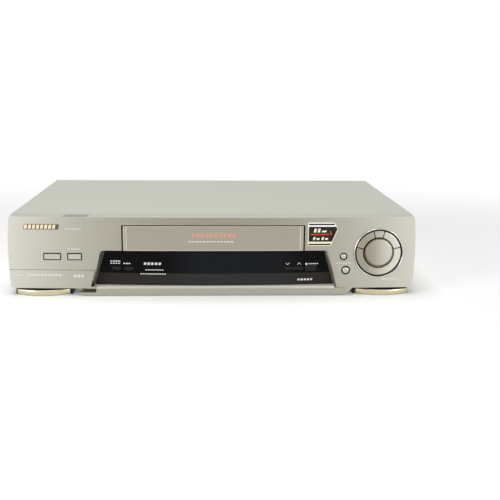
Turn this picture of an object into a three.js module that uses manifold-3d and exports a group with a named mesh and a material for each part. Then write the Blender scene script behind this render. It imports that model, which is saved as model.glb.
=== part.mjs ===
// A front-loading video cassette recorder, built as an assembly of separate pieces.
// Millimetres. X runs to the right seen from the front, the front faces -Y, and the feet
// stand on Z = 0, with the origin under the middle of the machine.
import * as THREE from 'three';
import { mergeVertices } from 'three/addons/utils/BufferGeometryUtils.js';
import Module from 'manifold-3d';

const wasm = await Module();
wasm.setup();

// Overall sizes
const width = 430;
const height = 86;
const coverDepth = 262;
const panelDepth = 18;
const socketReach = 6;
const footHeight = 5.7;

// Values that the whole machine shares
const clearance = 0.3;
const overrun = 1;
const sheet = 0.8;
const mergeDistance = 0.0001;
const surfaceTolerance = 0.004;
const coarseRadius = 3.2;
const pinSteps = 8;

// Where the main levels and planes lie
const depth = coverDepth + panelDepth + socketReach;
const frontY = -depth / 2;
const jointY = frontY + panelDepth;
const rearY = jointY + coverDepth;
const floorZ = footHeight + clearance;
const floorTopZ = floorZ + sheet;

// The cassette that the machine takes
const cassetteWidth = 188;
const cassetteDepth = 104;
const cassetteHeight = 25;

// Front panel moulding
const panelWall = 2.4;
const panelBow = 5;
const stripDrop = 2;
const sideBulge = 1.6;
const cornerRadius = 4;
const skirtZ = 8;
const bowSteps = 10;

// Solids from three.js geometries, and back
function solidOf(geometry) {
  const bare = geometry.index ? geometry.toNonIndexed() : geometry.clone();
  for (const name of Object.keys(bare.attributes)) {
    if (name !== 'position') bare.deleteAttribute(name);
  }
  const merged = mergeVertices(bare, mergeDistance);
  const points = merged.attributes.position.array;
  const index = merged.index.array;
  const corners = [];
  let volume = 0;
  for (let i = 0; i < index.length; i += 3) {
    const [a, b, c] = [index[i], index[i + 1], index[i + 2]];
    if (a === b || b === c || c === a) continue;
    corners.push(a, b, c);
    const [p, q, r] = [a, b, c].map((k) => new THREE.Vector3().fromArray(points, 3 * k));
    volume += p.dot(q.cross(r));
  }
  if (volume < 0) corners.reverse();
  return new wasm.Manifold(new wasm.Mesh({
    numProp: 3,
    vertProperties: points,
    triVerts: new Uint32Array(corners),
  }));
}

function geometryOf(solid) {
  const mesh = solid.getMesh();
  const geometry = new THREE.BufferGeometry();
  geometry.setAttribute('position', new THREE.Float32BufferAttribute(mesh.vertProperties, 3));
  geometry.setIndex([...mesh.triVerts]);
  return geometry;
}

const joined = (first, ...rest) => rest.reduce((all, next) => all.add(next), first);
const cut = (body, ...tools) => tools.reduce((left, tool) => left.subtract(tool), body);
const common = (first, ...rest) => rest.reduce((kept, next) => kept.intersect(next), first);
const moved = (solid, matrix) => solidOf(geometryOf(solid).applyMatrix4(matrix));

// A box between two corners
function block(x0, x1, y0, y1, z0, z1) {
  const box = new THREE.BoxGeometry(x1 - x0, y1 - y0, z1 - z0);
  return solidOf(box.translate((x0 + x1) / 2, (y0 + y1) / 2, (z0 + z1) / 2));
}

// Extrusions: an outline in the first two axes, pushed along the third
const axisX = new THREE.Vector3(1, 0, 0);
const axisY = new THREE.Vector3(0, 1, 0);
const axisZ = new THREE.Vector3(0, 0, 1);
const sideways = new THREE.Matrix4().makeBasis(axisY, axisZ, axisX);

function extruded(shape, length, curveSegments) {
  return new THREE.ExtrudeGeometry(shape, { depth: length, bevelEnabled: false, curveSegments });
}

function alongZ(shape, z0, z1, curveSegments = 6) {
  return solidOf(extruded(shape, z1 - z0, curveSegments).translate(0, 0, z0));
}

function alongY(shape, y0, y1, curveSegments = 6) {
  const turnedUp = extruded(shape, y1 - y0, curveSegments).rotateX(Math.PI / 2);
  return solidOf(turnedUp.translate(0, y1, 0));
}

function alongX(shape, x0, x1, curveSegments = 6) {
  return solidOf(extruded(shape, x1 - x0, curveSegments).applyMatrix4(sideways).translate(x0, 0, 0));
}

function polygon(points) {
  return new THREE.Shape(points.map(([u, v]) => new THREE.Vector2(u, v)));
}

function roundedBox(u0, u1, v0, v1, radius) {
  const shape = new THREE.Shape();
  shape.absarc(u1 - radius, v0 + radius, radius, -Math.PI / 2, 0, false);
  shape.absarc(u1 - radius, v1 - radius, radius, 0, Math.PI / 2, false);
  shape.absarc(u0 + radius, v1 - radius, radius, Math.PI / 2, Math.PI, false);
  shape.absarc(u0 + radius, v0 + radius, radius, Math.PI, 1.5 * Math.PI, false);
  shape.closePath();
  return shape;
}

// Round rods along each axis, with more faces on wider ones
function roundSteps(radius) {
  return Math.min(40, 4 * Math.ceil(1 + 2 * Math.sqrt(radius / coarseRadius)));
}

function rodY(radius, y0, y1, x, z, steps = roundSteps(radius)) {
  const rod = new THREE.CylinderGeometry(radius, radius, y1 - y0, steps);
  return solidOf(rod.translate(x, (y0 + y1) / 2, z));
}

function rodZ(radius, z0, z1, x, y, steps = roundSteps(radius)) {
  const rod = new THREE.CylinderGeometry(radius, radius, z1 - z0, steps);
  return solidOf(rod.rotateX(Math.PI / 2).translate(x, y, (z0 + z1) / 2));
}

function rodX(radius, x0, x1, y, z, steps = roundSteps(radius)) {
  const rod = new THREE.CylinderGeometry(radius, radius, x1 - x0, steps);
  return solidOf(rod.rotateZ(Math.PI / 2).translate((x0 + x1) / 2, y, z));
}

// Revolved profiles of [radius, height] points about Z or Y
function turned(profile, steps) {
  return new THREE.LatheGeometry(profile.map(([r, h]) => new THREE.Vector2(r, h)), steps);
}

function turnedZ(profile, x, y, steps = 32) {
  return solidOf(turned(profile, steps).rotateX(Math.PI / 2).translate(x, y, 0));
}

function turnedY(profile, x, z, steps = 32) {
  return solidOf(turned(profile, steps).translate(x, 0, z));
}

// A solid lofted between outlines of as many points, each outline convex
function lofted(outlines) {
  const count = outlines[0].length;
  const points = outlines.flat(2);
  const index = [];
  for (let layer = 0; layer + 1 < outlines.length; layer += 1) {
    for (let i = 0; i < count; i += 1) {
      const next = (i + 1) % count;
      const [a, b] = [layer * count + i, layer * count + next];
      const [c, d] = [a + count, b + count];
      index.push(a, b, d, a, d, c);
    }
  }
  const last = (outlines.length - 1) * count;
  for (let i = 1; i + 1 < count; i += 1) {
    index.push(0, i + 1, i, last, last + i, last + i + 1);
  }
  const geometry = new THREE.BufferGeometry();
  geometry.setAttribute('position', new THREE.Float32BufferAttribute(points, 3));
  geometry.setIndex(index);
  return solidOf(geometry);
}

// Evenly spaced values from one end to the other
function spread(from, to, steps) {
  return Array.from({ length: steps + 1 }, (_, i) => from + ((to - from) * i) / steps);
}

// Seen from above: the strip between a front edge and a back edge, each a function of x
function plan(x0, x1, front, back, steps = bowSteps) {
  const across = spread(x0, x1, steps);
  const nearSide = across.map((x) => [x, front(x)]);
  const farSide = across.reverse().map((x) => [x, back(x)]);
  return polygon([...nearSide, ...farSide]);
}

const flat = (value) => () => value;

// Finishes
function finish(color, roughness, metalness) {
  return new THREE.MeshStandardMaterial({ color, roughness, metalness });
}

const champagne = finish('#b9b5a6', 0.42, 0.25);
const champagneLight = finish('#d3d0c4', 0.35, 0.25);
const paintedSteel = finish('#cfcfc6', 0.5, 0.1);
const zincSteel = finish('#a9acad', 0.38, 0.85);
const smoked = finish('#121317', 0.12, 0);
const gold = finish('#efe6c8', 0.25, 0.3);
const blackPlastic = finish('#1b1b1a', 0.6, 0);
const polished = finish('#d7d8d8', 0.12, 1);
const boardGreen = finish('#3f5a34', 0.6, 0);
const boardTan = finish('#a8864e', 0.65, 0);
const whitePlastic = finish('#e4e2da', 0.45, 0);
const greyPlastic = finish('#55585a', 0.55, 0);
const aluminium = finish('#c9cbcc', 0.3, 0.9);
const rubber = finish('#181818', 0.85, 0);
const copper = finish('#8a6a3a', 0.45, 0.4);
const yellowPlastic = finish('#d8b23a', 0.45, 0);

const recorder = new THREE.Group();

function piece(name, solid, material, parent = recorder) {
  const mesh = new THREE.Mesh(geometryOf(solid.simplify(surfaceTolerance)), material.clone());
  mesh.name = name;
  parent.add(mesh);
  return mesh;
}

// Front panel: how its face bows, how its strip slopes, and its outline seen from the front
function faceY(x) {
  const share = (2 * x) / width;
  return frontY + panelBow * share * share;
}

function faceSlope(x) {
  return (8 * panelBow * x) / (width * width);
}

function stripZ(y) {
  return height - (stripDrop * (jointY - y)) / panelDepth;
}

function panelOutline(inset) {
  const side = width / 2 - inset - sideBulge;
  const control = side + 2 * sideBulge;
  const radius = cornerRadius - Math.min(inset, cornerRadius * 0.6);
  const [low, high] = [skirtZ + inset, height - inset];
  const middle = (low + high) / 2;
  const shape = new THREE.Shape();
  shape.absarc(side - radius, low + radius, radius, -Math.PI / 2, 0, false);
  shape.quadraticCurveTo(control, middle, side, high - radius);
  shape.absarc(side - radius, high - radius, radius, 0, Math.PI / 2, false);
  shape.absarc(-side + radius, high - radius, radius, Math.PI / 2, Math.PI, false);
  shape.quadraticCurveTo(-control, middle, -side, low + radius);
  shape.absarc(-side + radius, low + radius, radius, Math.PI, 1.5 * Math.PI, false);
  shape.closePath();
  return shape;
}

function stripProfile(inset) {
  const [near, far] = [frontY - overrun, jointY + overrun];
  return polygon([
    [near, skirtZ - overrun],
    [far, skirtZ - overrun],
    [far, stripZ(far) - inset],
    [near, stripZ(near) - inset],
  ]);
}

// The panel's body, with every wall moved in by the inset
function panelBody(inset, backY) {
  const reach = width / 2 + overrun;
  return common(
    alongY(panelOutline(inset), frontY - overrun, backY, 4),
    alongZ(plan(-reach, reach, (x) => faceY(x) + inset, flat(backY)), 0, height + overrun),
    alongX(stripProfile(inset), -reach, reach),
  );
}

// Cassette slot and its door
const slotSideRoom = 2.3;
const slotTopRoom = 1.7;
const slotCorner = 1.2;
const cassetteInZ = 49.5;
const doorRecess = 0.8;
const doorSideGap = 1.6;
const doorTopGap = 1.2;
const doorBottomGap = 0.65;
const doorWebLap = 0.3;
const doorWebThickness = 1.9;
const doorWebRoot = 2;
const doorAxisDepth = 5.3;
const doorAxisRise = 3;
const doorPinRadius = 1;
const doorBarrelRadius = 1.3;
const doorPinReach = 3.4;

const slotHalf = cassetteWidth / 2 + slotSideRoom;
const slotFloorZ = cassetteInZ - slotSideRoom / 2 - clearance;
const slotTopZ = cassetteInZ + cassetteHeight + slotTopRoom;
const doorHalf = slotHalf - doorSideGap;
const doorBottomZ = slotFloorZ + doorBottomGap;
const doorTopZ = slotTopZ - doorTopGap;
const doorWebY = faceY(doorHalf) + panelWall + clearance;
const doorBackY = doorWebY + doorWebLap;
const doorAxisY = frontY + doorAxisDepth;
const doorAxisZ = slotTopZ + doorAxisRise;

// Window: the recess in the panel, the glass set back in it, and the chin below. The panel's
// two ends keep their width, and the window takes what lies between them.
const windowCentreX = 1.5;
const panelEndWidth = 94.7;
const recessFlare = 10.3;
const recessTopZ = 49;
const glassTopInset = 4.3;
const glassBottomInset = 3;
const glassTopZ = 47.9;
const glassSetback = 6;
const glassBow = 7;
const glassWall = 2.2;
const chinZ = 1.3;
const chinTopZ = 8.6;
const ledgeZ = 9.7;
const ledgeNose = 4.5;
const chinMargin = 9.4;
const chinCentreX = 1;
const chinSlope = 8;
const frameWall = 2.2;
const railHeight = 7;

const recessTopHalf = width / 2 - panelEndWidth;
const recessBottomHalf = recessTopHalf + recessFlare;
const glassTopHalf = recessTopHalf - glassTopInset;
const glassBottomHalf = recessBottomHalf - glassBottomInset;
const chinHalf = recessBottomHalf + chinMargin;
const glassFrontY = frontY + glassSetback;
const glassEndY = glassFrontY + glassBow;
const frameBackY = glassEndY + glassWall + clearance;
const ledgeY = frontY + ledgeNose;

function glassY(x) {
  const share = (x - windowCentreX) / glassBottomHalf;
  return glassFrontY + glassBow * share * share;
}

// Half width of the recess where it meets the face
function recessHalf(z) {
  const share = (recessTopZ - z) / (recessTopZ - chinTopZ);
  return recessTopHalf + (recessBottomHalf - recessTopHalf) * share;
}

function glassHalf(z) {
  const share = (glassTopZ - z) / (glassTopZ - ledgeZ);
  return glassTopHalf + (glassBottomHalf - glassTopHalf) * share;
}

function windowOutline(topHalf, bottomHalf, topZ, bottomZ) {
  return [
    [windowCentreX - bottomHalf, bottomZ],
    [windowCentreX + bottomHalf, bottomZ],
    [windowCentreX + topHalf, topZ],
    [windowCentreX - topHalf, topZ],
  ];
}

const atDepth = (outline, y) => outline.map(([x, z]) => [x, y, z]);

// Flap over the front sockets, hinged along its bottom on a line that follows the bow
const flapTopZ = 27.7;
const flapWall = 1.8;
const flapLip = 5;
const flapGap = 0.45;
const flapTailReach = 5.3;
const flapTailZ = 9.9;
const flapNotchZ = 12.3;
const hingeInset = 3.3;
const hingeZ = 11;
const hingePinRadius = 0.9;
const hingeEyeWall = 1.2;
const earWidth = 1.6;
const earInset = 7;
const trayWallY = 14;
const trayWall = 1.5;
const slotUnderFlapZ = 4.1;

const flapTailX = windowCentreX - recessBottomHalf + flapTailReach;
const flapMiddleX = (flapTailX - width / 2) / 2;
const hingeY = faceY(flapMiddleX) + hingeInset;
const hingeSlope = faceSlope(flapMiddleX);
const hingeAngle = Math.atan(hingeSlope);
const flapSweep = Math.hypot(hingeInset, hingeZ - skirtZ) + flapGap;
const trayFrontY = frontY + trayWallY;
const trayLeftX = -width / 2 + sideBulge + panelWall;
const eyeRadius = hingePinRadius + clearance + hingeEyeWall;
const hingeYAt = (x) => hingeY + hingeSlope * (x - flapMiddleX);

function flapRegion(grow) {
  const leftX = -width / 2 - overrun;
  const edge = (z) => windowCentreX - recessHalf(z) - flapGap + grow;
  return polygon([
    [leftX, skirtZ - overrun],
    [flapTailX + grow, skirtZ - overrun],
    [flapTailX + grow, flapTailZ + grow],
    [edge(flapTailZ) + grow, flapTailZ + grow],
    [edge(flapNotchZ), flapNotchZ],
    [edge(flapTopZ), flapTopZ + grow],
    [leftX, flapTopZ + grow],
  ]);
}

// A rod along the flap's hinge line between two x positions
function hingeRod(radius, x0, x1) {
  const middle = (x0 + x1) / 2;
  const length = (x1 - x0) / Math.cos(hingeAngle);
  const rod = new THREE.CylinderGeometry(radius, radius, length, roundSteps(radius));
  rod.rotateZ(Math.PI / 2 + hingeAngle).translate(middle, hingeYAt(middle), hingeZ);
  return solidOf(rod);
}

// Buttons on the panel
const capGap = 0.85;
const capProud = 0.5;
const capDepth = 5;
const capCorner = 1.1;
const capSteps = 8;
const buttonTravel = 0.6;
const stemRadius = 1.6;
const upperRowZ = 42.4;
const longCapHeight = 6.2;
const powerFromEnd = 46.15;
const powerWidth = 17.1;
const ejectFromEnd = 69.6;
const ejectWidth = 13.9;
const upperRoundShare = 0.569;
const upperRoundZ = 42.3;
const upperRoundRadius = 3;
const lowerRoundShare = 0.6185;
const lowerRoundZ = 27.4;
const lowerRoundRadius = 3.5;

// Transport ring
const ringFromEnd = 39.7;
const ringZ = 46;
const ringHoleRadius = 25.5;
const bezelRadius = 26.5;
const bezelWall = 0.8;
const bezelProud = 1.4;
const bezelLift = 0.4;
const bezelEdge = 0.4;
const keyOuterRadius = 23.9;
const keyInnerRadius = 16.6;
const keyGap = 1.1;
const keyProud = 1;
const keyDepth = 5.5;
const keyEdge = 0.6;
const discRadius = 14.3;
const discProud = 2.8;
const cupDepth = 7;
const cupFloor = 1.5;
const ringSideAngle = 75;
const ringTopAngle = 14.2;
const ringSteps = 36;

const powerX = -width / 2 + powerFromEnd;
const ejectX = -width / 2 + ejectFromEnd;
const ringX = width / 2 - ringFromEnd;
const ringY = faceY(ringX);
const ringTilt = Math.atan(faceSlope(ringX));

// The round buttons lie between the recess and the ring, at a share of the way across
function roundButtonX(z, share) {
  const recessEdgeX = windowCentreX + recessHalf(z);
  return recessEdgeX + (ringX - bezelRadius - recessEdgeX) * share;
}

const upperRoundX = roundButtonX(upperRoundZ, upperRoundShare);
const lowerRoundX = roundButtonX(lowerRoundZ, lowerRoundShare);

// Operation board behind the panel
const boardThickness = 1.6;
const boardSetback = 3.4;
const switchHeight = 3.5;
const switchSize = 6;
const bossRadius = 3;
const bossRoom = 6.6;
const bossEdge = 4;
const operationLeftInset = 27;
const operationRightInset = 9;
const operationLowZ = 15;
const operationMidZ = 45;
const operationJacksZ = 32;
const operationLeftTopZ = 52;
const operationTopZ = 71;
const operationLeftX = -width / 2 + operationLeftInset;
const operationRightX = width / 2 - operationRightInset;
const operationJacksX = windowCentreX - recessTopHalf - frameWall;
const operationLeftBlockX = operationJacksX - overrun;
const operationRingX = ringX - ringHoleRadius - bossRoom - bossEdge;
const operationBoardY = jointY + boardSetback;
const switchY = operationBoardY - switchHeight;
const stemEndY = switchY - buttonTravel - clearance;

// Walls beside the slot, which hold the door's pins and guide the cassette
const slotWall = 2;
const slotWallDrop = 3;

// The panel itself
const backCut = jointY + overrun;
const chinReach = chinHalf + chinSlope;

function chinOutline(inset) {
  const topZ = ledgeZ;
  const topHalf = chinReach - inset;
  const bottomHalf = chinHalf - inset;
  return polygon([
    [chinCentreX - bottomHalf, chinZ + inset],
    [chinCentreX + bottomHalf, chinZ + inset],
    [chinCentreX + topHalf, topZ],
    [chinCentreX - topHalf, topZ],
  ]);
}

const chinProfile = polygon([
  [frontY, chinZ],
  [frontY, chinTopZ],
  [ledgeY, ledgeZ],
  [frameBackY, ledgeZ],
  [frameBackY, chinZ],
]);
const chinHollow = block(
  chinCentreX - chinReach, chinCentreX + chinReach,
  frontY + panelWall, backCut, 0, chinTopZ - panelWall,
);
const chin = cut(
  common(
    alongY(chinOutline(0), frontY - overrun, frameBackY + overrun),
    alongX(chinProfile, chinCentreX - chinReach, chinCentreX + chinReach),
  ),
  common(alongY(chinOutline(panelWall), frontY, backCut), chinHollow),
);

const cutterZ = chinTopZ - overrun;
const recessFace = windowOutline(recessTopHalf, recessHalf(cutterZ), recessTopZ, cutterZ);
const recessBack = windowOutline(
  glassHalf(glassTopZ + clearance), glassHalf(cutterZ), glassTopZ + clearance, cutterZ,
);
const windowCutter = lofted([
  atDepth(recessFace, frontY - overrun),
  atDepth(recessFace, frontY + clearance),
  atDepth(recessBack, glassEndY),
  atDepth(recessBack, backCut),
]);
const frameOutline = polygon(windowOutline(
  recessTopHalf + frameWall, recessBottomHalf + frameWall, recessTopZ + frameWall, chinTopZ - frameWall,
));
const frame = common(
  alongY(frameOutline, frontY, frameBackY),
  alongZ(plan(-width / 2, width / 2, (x) => faceY(x) + panelWall / 2, flat(frameBackY)), 0, height),
);
const rail = block(
  windowCentreX - recessTopHalf, windowCentreX + recessTopHalf,
  frameBackY, jointY, glassTopZ - railHeight, glassTopZ - clearance,
);
const slotCutter = alongY(
  roundedBox(-slotHalf, slotHalf, slotFloorZ, slotTopZ, slotCorner), frontY - overrun, backCut, 2,
);

// Flap tray: a shelf over the sockets and a wall behind them, joined to the frame
const trayRightX = windowCentreX - recessHalf(flapTopZ) - frameWall;
const trayTopZ = flapTopZ + panelWall;
const tray = cut(joined(
  block(
    -width / 2, trayRightX + frameWall, trayFrontY, trayFrontY + trayWall, skirtZ + panelWall / 2, trayTopZ,
  ),
  common(
    block(-width / 2, trayRightX + frameWall, frontY, trayFrontY + trayWall, flapTopZ + flapGap, trayTopZ),
    alongZ(plan(-width / 2, width / 2, (x) => faceY(x) + panelWall / 2, flat(jointY)), 0, height),
  ),
), windowCutter);

// Room for the flap: its own shell, the sweep of its lower lip and the space for plugs behind it
const flapLeftX = -width / 2 - overrun;
const behindFace = (x0, x1, reach) => common(
  alongY(flapRegion(flapGap), frontY - overrun, jointY),
  alongZ(plan(x0, x1, flat(frontY - overrun), (x) => faceY(x) + reach + flapGap), 0, height),
);
const flapSpace = joined(
  behindFace(flapLeftX, flapTailX + clearance, flapWall),
  behindFace(flapLeftX, trayLeftX, flapLip),
  common(
    hingeRod(flapSweep, flapLeftX, flapTailX + flapGap),
    block(flapLeftX, flapTailX + flapGap, frontY - overrun, jointY, 0, hingeZ + flapGap),
  ),
  block(
    trayLeftX, trayRightX - flapGap, frontY - overrun, trayFrontY, skirtZ + panelWall, flapTopZ + flapGap,
  ),
);
const underFlap = block(
  -width / 2, flapTailX + flapGap, frontY - overrun, hingeYAt(flapTailX) + flapSweep, slotUnderFlapZ, skirtZ,
);

// Ears of the flap turn on pins held by two arms of the tray
const earXs = [-width / 2 + earInset, flapTailX - earInset - frameWall];
const armXs = [earXs[0] + earWidth + clearance, earXs[1] - earWidth - clearance];
const arms = armXs.map((x, i) => {
  const pinX = [Math.min(x, earXs[i]), Math.max(x, earXs[i]) + earWidth];
  const tip = hingeYAt(x) - hingePinRadius;
  const arm = block(
    x, x + earWidth, tip, trayFrontY + overrun, hingeZ - hingePinRadius, hingeZ + hingePinRadius,
  );
  return joined(arm, hingeRod(hingePinRadius, pinX[0], pinX[1]));
});

// Socket holes in the tray wall
const phonoRadius = 4.15;
const phonoBore = 1.6;
const phonoSpacing = 22;
const phonoZ = 17.5;
const phonoFromEnd = 41;
const phonoMiddleX = -width / 2 + phonoFromEnd;
const phonoXs = [-phonoSpacing, 0, phonoSpacing].map((step) => phonoMiddleX + step);

// Holes for the long caps, the round caps and the ring
function longCap(x, wide, grow) {
  const [half, tall] = [wide / 2 + grow, longCapHeight / 2 + grow];
  return roundedBox(x - half, x + half, upperRowZ - tall, upperRowZ + tall, capCorner);
}

const buttonHoles = [
  alongY(longCap(powerX, powerWidth, capGap), frontY - overrun, backCut, 2),
  alongY(longCap(ejectX, ejectWidth, capGap), frontY - overrun, backCut, 2),
  rodY(upperRoundRadius + capGap, frontY - overrun, backCut, upperRoundX, upperRoundZ),
  rodY(lowerRoundRadius + capGap, frontY - overrun, backCut, lowerRoundX, lowerRoundZ),
];
const ringPlace = new THREE.Matrix4()
  .makeTranslation(ringX, ringY, ringZ)
  .multiply(new THREE.Matrix4().makeRotationZ(ringTilt));
const ringHole = moved(rodY(ringHoleRadius, -cupDepth, 2 * panelDepth, 0, 0, ringSteps), ringPlace);

// Bosses that carry the operation board
const bossPlaces = [
  [powerX - powerWidth / 2 - bossRoom, operationLeftTopZ - bossEdge],
  [(powerX + powerWidth / 2 + ejectX - ejectWidth / 2) / 2, operationLeftTopZ - bossEdge],
  [operationRingX + bossRadius, operationMidZ + bossEdge + bossRadius],
  [operationRightX - bossEdge, operationLowZ + bossEdge + bossRadius],
];
const bosses = bossPlaces.map(([x, z]) => rodY(
  bossRadius, faceY(x) + panelWall / 2, operationBoardY - clearance, x, z, pinSteps,
));

const slotWalls = [-1, 1].map((side) => {
  const inner = side * (slotHalf + clearance);
  const outer = side * (slotHalf + clearance + slotWall);
  const [x0, x1] = [Math.min(inner, outer), Math.max(inner, outer)];
  const wall = common(
    block(x0, x1, frontY, jointY, slotFloorZ - slotWallDrop, height),
    panelBody(panelWall / 2, jointY),
  );
  return cut(
    wall,
    windowCutter,
    rodX(doorPinRadius + clearance, x0 - overrun, x1 + overrun, doorAxisY, doorAxisZ, pinSteps),
  );
});

const shell = cut(joined(panelBody(0, jointY), frame), common(panelBody(panelWall, backCut),
  cut(block(-width, width, frontY, backCut, 0, height), frame)));
const panel = cut(
  joined(
    cut(joined(cut(shell, windowCutter), chin), flapSpace, underFlap),
    common(tray, panelBody(sheet, jointY)),
    common(tray, block(-width / 2, width / 2, frontY, jointY, 0, skirtZ + panelWall)),
    ...arms, rail, ...bosses, ...slotWalls,
  ),
  slotCutter,
  ...buttonHoles,
  ringHole,
  ...phonoXs.map((x) => rodY(phonoRadius + clearance, trayFrontY - overrun, jointY, x, phonoZ)),
);
piece('front_panel', panel, champagne);

// Cassette door: a plate bowed as the panel and nearly flush with it, hung from a web set back
// behind the slot's top edge
const doorPlate = joined(
  alongZ(plan(
    -doorHalf, doorHalf, (x) => faceY(x) + doorRecess, flat(doorBackY),
  ), doorBottomZ, doorTopZ),
  block(-doorHalf, doorHalf, doorWebY, doorWebY + doorWebThickness, doorTopZ - doorWebRoot, doorAxisZ),
  rodX(doorBarrelRadius, -doorHalf, doorHalf, doorAxisY, doorAxisZ, 16),
  rodX(doorPinRadius, -doorHalf - doorPinReach, doorHalf + doorPinReach, doorAxisY, doorAxisZ, pinSteps),
);
piece('cassette_door', doorPlate, champagne);

// Flap
const lipRightX = trayRightX - 2 * flapGap;
const flapShell = cut(
  common(
    panelBody(0, jointY),
    alongY(flapRegion(0), frontY - overrun, jointY),
    alongZ(plan(
      -width / 2 - overrun, flapTailX + overrun, flat(frontY - overrun), (x) => faceY(x) + flapLip,
    ), 0, height),
  ),
  panelBody(flapWall, backCut),
  block(lipRightX, flapTailX + overrun, faceY(lipRightX) + flapWall, backCut, 0, flapTopZ + overrun),
);
// What the lip loses to turn clear: notches for the tray's arms, and its lower corner at the side
const armNotches = armXs.map((x) => block(
  x - clearance, x + earWidth + clearance, faceY(x) + flapWall, backCut, 0, hingeZ,
));
const lipHeel = cut(
  block(flapLeftX, trayLeftX + flapGap, hingeYAt(trayLeftX), backCut, 0, hingeZ),
  hingeRod(flapLip - hingeInset, flapLeftX - overrun, trayLeftX + flapGap + overrun),
);
const ears = earXs.map((x) => joined(
  hingeRod(eyeRadius, x, x + earWidth),
  block(
    x, x + earWidth, faceY(x) + flapWall / 2, hingeYAt(x), hingeZ - eyeRadius, hingeZ + eyeRadius,
  ),
));
piece('av_flap', cut(
  joined(cut(flapShell, ...armNotches, lipHeel), ...ears),
  hingeRod(hingePinRadius + clearance, -width / 2, flapTailX),
), champagne);

// Window glass, bowed more than the panel, with holes for its four buttons
const windowButtonZ = 27.8;
const windowCapHeight = 3.5;
const windowCapGap = 0.35;
const directInset = 11.4;
const dubSpacing = 13.2;
const recordInset = 12.95;
const rockerSpacing = 18.95;
const smallCapWidth = 9.4;
const rockerWidth = 21;
const rockerRoom = 0.7;
const recordCapWidth = 12.7;
const recordCapHeight = 6.7;
const recordCorner = 2.4;
const directX = windowCentreX - glassTopHalf + directInset;
const dubX = directX + dubSpacing;
const recordCapX = windowCentreX + glassTopHalf - recordInset;
const rockerX = recordCapX - rockerSpacing;

function windowCap(x, wide, tall, corner, growX, growZ) {
  const [half, rise] = [wide / 2 + growX, tall / 2 + growZ];
  return roundedBox(x - half, x + half, windowButtonZ - rise, windowButtonZ + rise, corner);
}

const glassOutline = polygon(windowOutline(
  glassTopHalf - clearance, glassBottomHalf - clearance, glassTopZ, ledgeZ + clearance,
));
const glassLeftX = windowCentreX - glassBottomHalf;
const glassRightX = windowCentreX + glassBottomHalf;
const smallCorner = capCorner / 2;
const glassHoles = [
  windowCap(directX, smallCapWidth, windowCapHeight, smallCorner, windowCapGap, windowCapGap),
  windowCap(dubX, smallCapWidth, windowCapHeight, smallCorner, windowCapGap, windowCapGap),
  windowCap(rockerX, rockerWidth, windowCapHeight, smallCorner, rockerRoom, windowCapGap),
  windowCap(recordCapX, recordCapWidth, recordCapHeight, recordCorner, windowCapGap, windowCapGap),
].map((shape) => alongY(shape, frontY, jointY, 2));
piece('display_window', cut(
  common(
    alongY(glassOutline, frontY, jointY),
    alongZ(plan(glassLeftX, glassRightX, glassY, (x) => glassY(x) + glassWall), 0, height),
  ),
  ...glassHoles,
), smoked);

// Buttons: a cap cut to the surface it lies in, and a stem to its switch
function stem(x, z, capBackY, radius = stemRadius) {
  return rodY(radius, capBackY - overrun, stemEndY, x, z, pinSteps);
}

function facedCap(shape, x, wide, surface, capBackY) {
  return common(
    alongY(shape, frontY - 2 * overrun, capBackY, 2),
    alongZ(plan(x - wide, x + wide, surface, flat(capBackY), capSteps), 0, height),
  );
}

function panelButton(name, x, z, wide) {
  const capBackY = faceY(x) + capDepth;
  const cap = facedCap(longCap(x, wide, 0), x, wide, (across) => faceY(across) - capProud, capBackY);
  piece(name, joined(cap, stem(x, z, capBackY)), champagneLight);
}

function roundCap(x, z, radius) {
  const shape = new THREE.Shape();
  shape.absarc(x, z, radius, 0, 2 * Math.PI, false);
  return shape;
}

panelButton('power_button', powerX, upperRowZ, powerWidth);
panelButton('eject_button', ejectX, upperRowZ, ejectWidth);

function roundButton(name, x, z, radius) {
  const [nose, back] = [faceY(x) - capProud - keyEdge, faceY(x) + capDepth];
  const profile = [
    [0, nose], [radius * 0.6, nose + keyEdge / 4], [radius - keyEdge / 2, nose + keyEdge],
    [radius, nose + 2 * keyEdge], [radius, back], [0, back],
  ];
  piece(name, joined(turnedY(profile, x, z, 16), stem(x, z, back)), champagneLight);
}

roundButton('upper_round_button', upperRoundX, upperRoundZ, upperRoundRadius);
roundButton('lower_round_button', lowerRoundX, lowerRoundZ, lowerRoundRadius);

function windowButton(name, x, wide, tall, corner, stemXs) {
  const capBackY = glassY(x) + capDepth;
  const cap = facedCap(windowCap(x, wide, tall, corner, 0, 0), x, wide, glassY, capBackY);
  const stems = stemXs.map((at) => stem(at, windowButtonZ, capBackY, stemRadius * 0.7));
  piece(name, joined(cap, ...stems), smoked);
}

windowButton('direct_record_button', directX, smallCapWidth, windowCapHeight, smallCorner, [directX]);
windowButton('audio_dub_button', dubX, smallCapWidth, windowCapHeight, smallCorner, [dubX]);
const rockerArm = rockerWidth / 2 - switchSize / 2;
windowButton(
  'channel_rocker', rockerX, rockerWidth, windowCapHeight, smallCorner, [rockerX - rockerArm, rockerX + rockerArm],
);
windowButton('record_button', recordCapX, recordCapWidth, recordCapHeight, recordCorner, [recordCapX]);

// Transport ring: a polished cup let into the panel, four keys and the domed disc.
// All are turned to stand square to the bowed face.
const dial = new THREE.Group();
dial.position.set(ringX, ringY, ringZ);
dial.rotation.z = ringTilt;
recorder.add(dial);

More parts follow.
